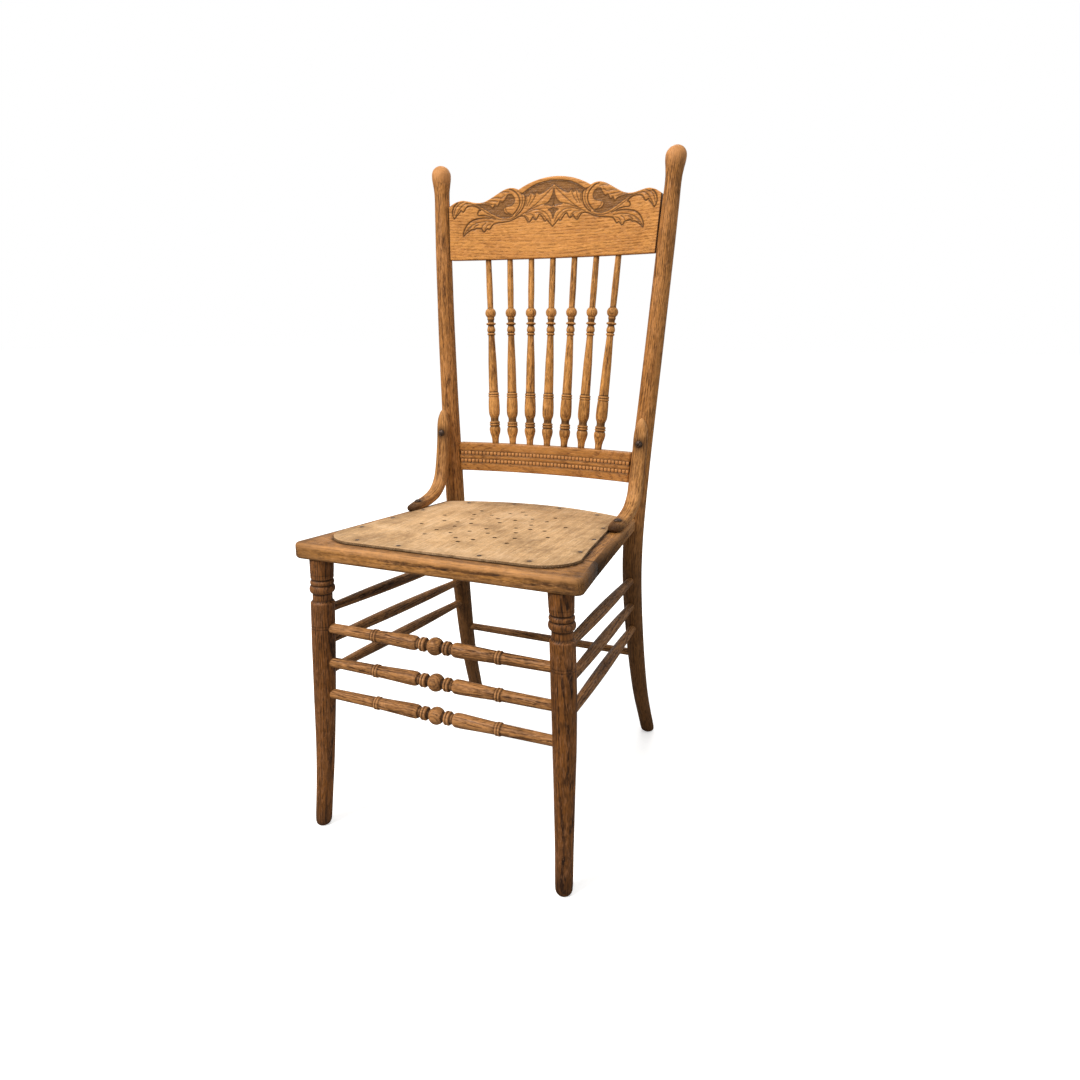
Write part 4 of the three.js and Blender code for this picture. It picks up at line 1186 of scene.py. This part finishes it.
def add_rail(name, loop, radii, along, seed):
    points, faces, edge = plate(loop, radii, -frame_thickness, 0, 5)
    flat = np.column_stack([points[:, 0], points[:, 1]])
    to_panel = distance_to(panel_outline + panel_outline[:1], flat[:, 0], flat[:, 1])
    # Painted shadow: the rail's top is painted darker along the panel's edge, where the panel casts its
    # shadow. The rail is also made darker towards its bottom, and is dark with wear at the front corners and
    # at the joints.
    panel_shadow = np.exp(-((to_panel / 3.0) ** 2)) * (points[:, 2] > -1)
    at_corner = np.exp(-((np.hypot(np.abs(flat[:, 0]) - 212, flat[:, 1] - 20) / 26) ** 2))
    under = np.clip((-points[:, 2] - 14) / 9, 0, 1)
    outside_edge = (np.abs(flat[:, 0]) > side_edge_at(flat[:, 1]) - 6) | (flat[:, 1] < 6)
    tone = np.zeros((len(points), 3))
    # Outside edges take the plate's paleness: edge wear, and along the top rounding also a painted highlight.
    tone[:, 0] = np.where(outside_edge, edge * 0.8, 0.15)
    tone[:, 1] = np.clip(panel_shadow + under * 0.5 + at_corner * 0.8, 0, 1)
    tone[:, 2] = 0.75 * panel_shadow + 0.4 * at_corner * (np.abs(flat[:, 0]) > 200)
    if along == "x":
        lying = np.column_stack([points[:, 2], points[:, 1], points[:, 0]])
    else:
        lying = np.column_stack([points[:, 0], points[:, 2], points[:, 1]])
    grain = cut_from_log(lying, seed, (25, -60))
    across = np.abs(flat[:, 0])
    beside_front = np.abs(flat[:, 1] - front_rail_depth) < joint_reach
    beside_rear = np.abs(across - inner_edge_at(flat[:, 1])) < joint_reach
    at_joint = beside_front & (across > inner_edge_at(front_rail_depth) - 1)
    at_joint |= beside_rear & (flat[:, 1] > opening_rear)
    tone[at_joint, 2] = 0.9
    return add_piece(f"{name}_board", on_seat(points), faces, grain, tone, frame_oak, [name])


corner = arc((front_half_width - front_corner, front_corner), front_corner, -90, -6, 6)
front_half = [(70, 0), (140, 0)] + corner
front_half += [(side_edge_at(front_rail_depth), front_rail_depth - joint_gap)]
front_loop = front_half + [(-x, y) for x, y in reversed(front_half)]
joint_edge = len(front_half) - 1
front_radii = [joint_radius if i == joint_edge else nose_radius for i in range(len(front_loop))]
add_rail("seat_front_rail", front_loop, front_radii, "x", 51.3)

rear_centre = (side_edge_at(side_rail_end) - rear_corner, side_rail_end - rear_corner)
rear_turn = arc(rear_centre, rear_corner, 0, 90, 4)
side_start = front_rail_depth + joint_gap
side_outline = (
    [(inner_edge_at(side_start), side_start), (side_edge_at(side_start), side_start)]
    + rear_turn
    + [(x, float(frame_rear_edge(x))) for x in (150, 134)]
    + [(inner_edge_at(371), 371.3), (inner_edge_at(opening_rear), opening_rear)]
)
side_radii = [joint_radius] + [nose_radius] * (len(side_outline) - 4) + [joint_radius] * 3
for number, side in enumerate((1, -1)):
    loop = side_outline if side == 1 else [(-x, y) for x, y in reversed(side_outline)]
    radii = side_radii if side == 1 else side_radii[-2::-1] + side_radii[-1:]
    add_rail(f"seat_side_rail_{('right', 'left')[number]}", loop, radii, "y", 53.8 + number * 2.3)

inner_rear = inner_edge_at(371) - joint_gap
back_half = [(inner_edge_at(opening_rear) - joint_gap, opening_rear), (inner_rear, 371.6)]
back_half += [(x, float(frame_rear_edge(x))) for x in (109, 87, 65, 43, 22)]
back_loop = back_half + [(-x, y) for x, y in reversed(back_half)]
back_joints = (0, len(back_loop) - 2, len(back_loop) - 1)
back_radii = [joint_radius if i in back_joints else nose_radius for i in range(len(back_loop))]
add_rail("seat_back_rail", back_loop, back_radii, "x", 58.9)

dowel_oak = oak_finish("dowel_oak", (0.45, 0.26, 0.11), (0.27, 0.14, 0.05), wear_and_highlight=0.3, grime_and_shade=0.3)
for number in range(1, 9):
    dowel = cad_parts[f"frame_dowel_{number}"]
    dowel.data.materials.clear()
    dowel.data.materials.append(dowel_oak)


# ---- Seat panel ----------------------------------------------------------------------------------------
# A three-ply panel pierced with a rosette of small round holes, tacked on the frame. Its varnish has gone:
# it is dull, rubbed bare in the middle and scored along the grain, with iron stain round every tack.

panel_lift = 0.3
panel_thickness = 4
panel_top = panel_lift + panel_thickness
hole_radius = 3.0
rosette_middle = 200
rosette_quarter = [
    (0, 23), (0, 111), (38, 0), (62, 0), (85, 0), (15, 48), (14, 92), (36, 68), (51, 28), (64, 60), (66, 91),
    (105, 35),
]
tack_places = [(62, 34), (132, 37), (175, 108), (169, 182), (158, 256), (118, 343), (42, 368)]
tack_places = tack_places + [(-x, y) for x, y in tack_places]

ways = [(1, 1), (1, -1), (-1, 1), (-1, -1)]
rosette = sorted({
    (way_x * x, rosette_middle + way_y * y) for x, y in rosette_quarter for way_x, way_y in ways
})


def build_perforated():
    """Cuts a round hole through a panel at every vertex of another object."""
    tree, given, result = new_group(
        "perforated",
        "GeometryNodeTree",
        [("Geometry", "NodeSocketGeometry", None), ("Places", "NodeSocketObject", None),
         ("Hole Radius", "NodeSocketFloat", 0.002), ("Cutter Length", "NodeSocketFloat", 0.02),
         ("Finish", "NodeSocketMaterial", None)],
        [("Geometry", "NodeSocketGeometry")],
    )
    inputs = given.outputs
    places = put(tree, "GeometryNodeObjectInfo", {"Object": inputs["Places"]})
    dots = put(tree, "GeometryNodeMeshToPoints", {"Mesh": places.outputs["Geometry"]})
    drill = put(
        tree, "GeometryNodeMeshCylinder",
        {"Vertices": 14, "Radius": inputs["Hole Radius"], "Depth": inputs["Cutter Length"]},
    )
    drills = put(
        tree, "GeometryNodeInstanceOnPoints", {"Points": dots.outputs[0], "Instance": drill.outputs["Mesh"]}
    )
    real_drills = put(tree, "GeometryNodeRealizeInstances", {0: drills.outputs[0]})
    pierced = put(tree, "GeometryNodeMeshBoolean", operation="DIFFERENCE")
    tree.links.new(inputs["Geometry"], pierced.inputs[0])
    tree.links.new(real_drills.outputs[0], pierced.inputs[1])
    dress(tree, pierced.outputs[0], inputs["Finish"], result)
    return tree


panel_ply = oak_finish(
    "panel_ply", (0.640, 0.405, 0.200), (0.480, 0.285, 0.130), wear_and_highlight=0.8, grime_and_shade=0.6, gloss=0.62,
    pore_tone=0.6, ring_spacing=0.007, grain_lift=0.3, ring_depth=0.3, pore_depth=0.35, fleck_depth=0.3,
)


def add_rubbed_marks(material):
    """Adds the long scores of use and the dark water marks that only the seat panel has."""
    tree = material.node_tree
    shader = tree.nodes["Principled BSDF"]
    colour = shader.inputs["Base Color"].links[0].from_socket
    place = put(tree, "ShaderNodeTexCoord").outputs["Object"]
    lying = (math.radians(90), 0, math.radians(12))
    turned = put(tree, "ShaderNodeMapping", {"Vector": place, "Rotation": lying})
    fibres = ramp(tree, stretched_noise(tree, turned.outputs[0], 0.0024, 0.045, 3.0, 0.7), 0.42, 0.62)
    colour = mix_colour(tree, math_node(tree, "MULTIPLY", fibres, 0.35), colour, (0.27, 0.150, 0.066, 1))
    scores = ramp(tree, stretched_noise(tree, turned.outputs[0], 0.0013, 0.07, 1.0), 0.62, 0.70)
    colour = mix_colour(tree, math_node(tree, "MULTIPLY", scores, 0.55), colour, (0.78, 0.58, 0.37, 1))
    clouds = stretched_noise(tree, place, 0.085, 0.085, 6.0, 0.7)
    water = math_node(tree, "MULTIPLY", ramp(tree, clouds, 0.50, 0.66), 0.5)
    colour = mix_colour(tree, water, colour, (0.20, 0.11, 0.05, 1))
    rubbed = math_node(tree, "MULTIPLY", ramp(tree, clouds, 0.5, 0.36), 0.4)
    colour = mix_colour(tree, rubbed, colour, (0.78, 0.54, 0.32, 1))
    specks = ramp(tree, stretched_noise(tree, place, 0.0022, 0.0022, 1.0), 0.66, 0.72)
    colour = mix_colour(tree, math_node(tree, "MULTIPLY", specks, 0.55), colour, (0.12, 0.065, 0.03, 1))
    tree.links.new(colour, shader.inputs["Base Color"])


add_rubbed_marks(panel_ply)



def ring_round(centre, radius):
    """Eight points round a centre, so that a stain there has points of its own to lie on."""
    angles = np.arange(8) * math.pi / 4
    return [(centre[0] + radius * math.cos(a), centre[1] + radius * math.sin(a)) for a in angles]


hole_rims = [point for place in rosette for point in ring_round(place, hole_radius + 1.1)]
tack_rims = []
for x, y in tack_places:
    tack_rims += [(x + 0.01, y)] + ring_round((x, y), 4) + ring_round((x, y), 7)
points, faces, _ = plate(
    panel_outline, [0.8] * len(panel_outline), panel_lift, panel_top, 5, hole_rims + tack_rims, steps=2
)
blank = bpy.data.meshes.new("panel_blank")
blank.from_pydata(in_frame(on_seat(points)).tolist(), [], faces)
hole_mesh = bpy.data.meshes.new("rosette_places")
hole_points = on_seat(np.array([(x, y, panel_top / 2) for x, y in rosette]))
hole_mesh.from_pydata(in_frame(hole_points).tolist(), [], [])
holes = new_object("rosette_places", hole_mesh)
panel = grown(
    "seat_panel_ply", build_perforated(), blank,
    {"Places": holes, "Hole Radius": hole_radius * MM, "Cutter Length": 0.02, "Finish": panel_ply},
)
bpy.data.objects.remove(holes)


def tone_panel(mesh):
    here = points_of(mesh)
    here[:, 1] -= front_edge
    x, y = here[:, 0], here[:, 1]
    to_edge = distance_to(panel_outline + panel_outline[:1], x, y)
    to_hole = np.min([np.hypot(x - hx, y - hy) for hx, hy in rosette], axis=0)
    to_tack = np.min([np.hypot(x - tx, y - ty) for tx, ty in tack_places], axis=0)
    level = here[:, 2] - (seat_height - seat_slope * y)
    below_top = level < panel_top - 0.5
    tone = np.zeros(here.shape)
    tone[:, 0] = np.clip(1 - to_edge / 6, 0, 1) * 0.5
    dirty = 0.35 * np.exp(-(((to_hole - hole_radius) / 1.2) ** 2)) + 0.8 * np.exp(-((to_tack / 7) ** 2))
    tone[:, 1] = np.clip(dirty + 0.45 * np.exp(-((to_edge / 22) ** 2)), 0, 1)
    tone[:, 2] = np.where(below_top, 0.75, 0.5 * np.exp(-((to_tack / 5) ** 2)))
    tone[to_hole < hole_radius + 0.1, 2] = 0.97
    lying = np.column_stack([x, here[:, 2], y])
    write_tones(mesh, cut_from_log(lying, 61.7, (15, -300)), tone)


tone_panel(panel.data)
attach(panel, "root")
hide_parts("seat_panel")


# ---- Tacks and screws ----------------------------------------------------------------------------------
# Fourteen domed iron tacks hold the panel. Six round-head iron screws with a slot hold the braces and draw
# the seat frame to the posts.


def iron_finish():
    material = bpy.data.materials.new("iron")
    material.use_nodes = True
    tree = material.node_tree
    shader = tree.nodes["Principled BSDF"]
    place = put(tree, "ShaderNodeTexCoord").outputs["Object"]
    rust = stretched_noise(tree, place, 0.0016, 0.0016, 3.0, 0.65)
    rubbed = ramp(tree, rust, 0.56, 0.66)
    black_iron = (0.028, 0.020, 0.017, 1)
    brown_rust = (0.085, 0.052, 0.036, 1)
    bright_iron = (0.30, 0.28, 0.26, 1)
    colour = mix_colour(tree, ramp(tree, rust, 0.35, 0.55), black_iron, brown_rust)
    colour = mix_colour(tree, math_node(tree, "MULTIPLY", rubbed, 0.7), colour, bright_iron)
    tree.links.new(colour, shader.inputs["Base Color"])
    tree.links.new(ramp(tree, rust, 0.4, 0.66, 0.6, 0.32), shader.inputs["Roughness"])
    shader.inputs["Metallic"].default_value = 0.75
    bump = put(tree, "ShaderNodeBump", {"Strength": 0.4, "Distance": 0.0003, "Height": rust})
    tree.links.new(bump.outputs["Normal"], shader.inputs["Normal"])
    return material


iron = iron_finish()


def domed_head(name, radius, rise, cells, slot_half=0.0, slot_depth=0.0):
    """A domed head that faces +Z, built of chords along X, with a screwdriver slot if it is given a width."""
    shares = np.sin(np.linspace(-1, 1, cells + 1) * math.pi / 2)
    lines = shares * radius
    if slot_half:
        walls = [-slot_half * 1.15, -slot_half, slot_half, slot_half * 1.15]
        lines = np.sort(np.concatenate([lines[np.abs(lines) > slot_half * 1.5], walls]))
    build = bmesh.new()
    rows = []
    for y in lines:
        half_chord = math.sqrt(max(radius**2 - y**2, 0.0))
        row = []
        for x in shares * half_chord:
            z = rise * math.sqrt(max(1 - (x**2 + y**2) / radius**2, 0.0))
            if slot_half and abs(y) <= slot_half:
                z = max(rise * 0.12, z - slot_depth)
            row.append(build.verts.new((x * MM, y * MM, z * MM)))
        rows.append(row)
    for low, high in zip(rows, rows[1:]):
        for i in range(cells):
            build.faces.new([low[i], low[i + 1], high[i + 1], high[i]])
    mesh = bpy.data.meshes.new(name)
    build.to_mesh(mesh)
    build.free()
    return new_object(name, mesh)


def build_heads():
    """Sets a head on every vertex of the input mesh, turned as the vertex's own attribute says."""
    tree, given, result = new_group(
        "heads",
        "GeometryNodeTree",
        [("Geometry", "NodeSocketGeometry", None), ("Head", "NodeSocketObject", None),
         ("Finish", "NodeSocketMaterial", None)],
        [("Geometry", "NodeSocketGeometry")],
    )
    inputs = given.outputs
    head = put(tree, "GeometryNodeObjectInfo", {"Object": inputs["Head"]})
    turn = put(tree, "GeometryNodeInputNamedAttribute", {"Name": "turn"}, data_type="FLOAT_VECTOR")
    dots = put(tree, "GeometryNodeMeshToPoints", {"Mesh": inputs["Geometry"]})
    heads = put(
        tree, "GeometryNodeInstanceOnPoints",
        {"Points": dots.outputs[0], "Instance": head.outputs["Geometry"],
         "Rotation": turn.outputs["Attribute"]},
    )
    dress(tree, heads.outputs[0], inputs["Finish"], result)
    return tree


head_tree = build_heads()


def add_heads(name, head, places, turns, nodes):
    dots = bpy.data.meshes.new(f"{name}_places")
    dots.from_pydata(in_frame(places).tolist(), [], [])
    dots.attributes.new("turn", "FLOAT_VECTOR", "POINT").data.foreach_set("vector", np.ravel(turns))
    made = grown(name, head_tree, dots, {"Head": head, "Finish": iron})
    bpy.data.objects.remove(head)
    made.data.polygons.foreach_set("use_smooth", [True] * len(made.data.polygons))
    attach(made, "root")
    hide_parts(*nodes)


tack_head = domed_head("tack_head", 3.4, 0.8, 8)
tack_points = on_seat(np.array([(x, y, panel_top - 0.1) for x, y in tack_places]))
tack_turns = [(-math.atan(seat_slope), 0, 0.7 * i) for i in range(len(tack_places))]
add_heads("seat_tacks", tack_head, tack_points, tack_turns, [f"seat_tack_{i + 1}" for i in range(14)])

screw_head = domed_head("screw_head", 5.6, 3.2, 16, slot_half=0.6, slot_depth=1.6)
screw_lines = {
    "brace_top_screw": ((179.5, 360.6, 561), (178, 395, 560)),
    "brace_foot_screw": ((176.2, 270, 456), (176.2, 271, 431)),
    "post_screw": ((170, 402, 428), (168, 340, 428)),
}
screw_points, screw_turns, screw_nodes = [], [], []
for number, (name, (head_at, towards)) in enumerate(screw_lines.items()):
    for side in (1, -1):
        outwards = Vector(head_at) - Vector(towards)
        outwards.x *= side
        turn = outwards.to_track_quat("Z", "Y") @ Quaternion((0, 0, 1), number + side)
        screw_points.append((side * head_at[0], head_at[1], head_at[2]))
        screw_turns.append(tuple(turn.to_euler()))
        screw_nodes.append(f"{name}_{'right' if side == 1 else 'left'}")
add_heads("round_head_screws", screw_head, screw_points, screw_turns, screw_nodes)


# ---- Hip braces ----------------------------------------------------------------------------------------
# A steam-bent bar on each side joins the post to the side rail. It is flat-oval, blunt at both ends, and
# bare and open-grained where the varnish has cracked off; the foot is black with wear.

brace_knots = [
    (176, 246, 446.6), (176.2, 272, 449.2), (176.8, 303, 452.6), (177.4, 331, 462), (178, 350, 481),
    (178.6, 360, 510), (179.2, 366.6, 545), (179.8, 369.6, 578), (180.2, 372, 601),
]
brace_width = 23
brace_thickness = smooth_through([(0, 10), (0.1, 14), (0.3, 16.5), (0.6, 17.5), (0.9, 14.5), (1, 12)])
brace_taper = smooth_through([(0, 0.72), (0.06, 0.96), (0.14, 1), (0.86, 1), (0.94, 0.80), (1, 0.25)])
brace_oak = oak_finish(
    "brace_oak", (0.500, 0.232, 0.064), (0.170, 0.064, 0.016), wear_and_highlight=0.7, grime_and_shade=0.5, gloss=0.5, pore_tone=0.4,
    grain_lift=0.6,
)


def brace_bar(sides, stations, round_share=0.02):
    """A bent flat-oval bar with rounded ends: points, faces, the same points unbent, and each one's share."""
    knots = np.array(brace_knots, dtype=float)
    lengths = np.concatenate([[0], np.cumsum(np.linalg.norm(np.diff(knots, axis=0), axis=1))])
    path = [smooth_through(list(zip(lengths, knots[:, i]))) for i in range(3)]
    end_shares = round_share * np.linspace(0, 0.85, 6) ** 2
    middle_shares = np.linspace(round_share, 1 - round_share, stations)
    shares = np.concatenate([end_shares, middle_shares, 1 - end_shares[::-1]])
    rows, straight = [], []
    angles = np.arange(sides) * 2 * math.pi / sides
    for share in shares:
        s = share * lengths[-1]
        centre = np.array([float(axis(s)) for axis in path])
        ahead = np.array([float(axis(s + 1) - axis(s - 1)) for axis in path])
        ahead /= np.linalg.norm(ahead)
        across = np.array([1.0, 0, 0])
        outwards = np.cross(ahead, across)
        from_end = min(share, 1 - share) / round_share
        blunt = math.sqrt(max(0.05, 1 - max(0, 1 - from_end) ** 2))
        half_width = brace_width / 2 * float(brace_taper(share)) * blunt
        half_thick = float(brace_thickness(share)) / 2 * blunt
        wide = np.sign(np.cos(angles)) * np.abs(np.cos(angles)) ** 0.8 * half_width
        thick = np.sign(np.sin(angles)) * np.abs(np.sin(angles)) ** 0.8 * half_thick
        rows.append(centre + np.outer(wide, across) + np.outer(thick, outwards))
        straight.append(np.column_stack([wide, thick, np.full(sides, s)]))
    return np.vstack(rows), skin(len(shares), sides), np.vstack(straight), np.repeat(shares, sides)


for number, side in enumerate(("right", "left")):
    points, faces, straight, shares = brace_bar(28, 90)
    grain = cut_from_log(straight, 71 + number * 1.7)
    tone = np.zeros((len(points), 3))
    tone[:, 0] = 0.12 + 0.9 * np.clip((shares - 0.93) / 0.05, 0, 1)
    at_foot = np.clip(1 - shares / 0.16, 0, 1)
    tone[:, 1] = at_foot
    tone[:, 2] = at_foot * 0.8
    for name in ("brace_top_screw", "brace_foot_screw"):
        to_screw = np.linalg.norm(points - np.array(screw_lines[name][0]), axis=1)
        tone[:, 2] = np.maximum(tone[:, 2], np.exp(-((to_screw / 11) ** 2)))
    points = hand_worn(points - points.mean(axis=0), 0.05, number + 80) + points.mean(axis=0)
    if side == "left":
        points, faces = mirrored(points, faces)
    node = f"brace_{side}"
    add_piece(f"{node}_bar", points, faces, grain, tone, brace_oak, [node])
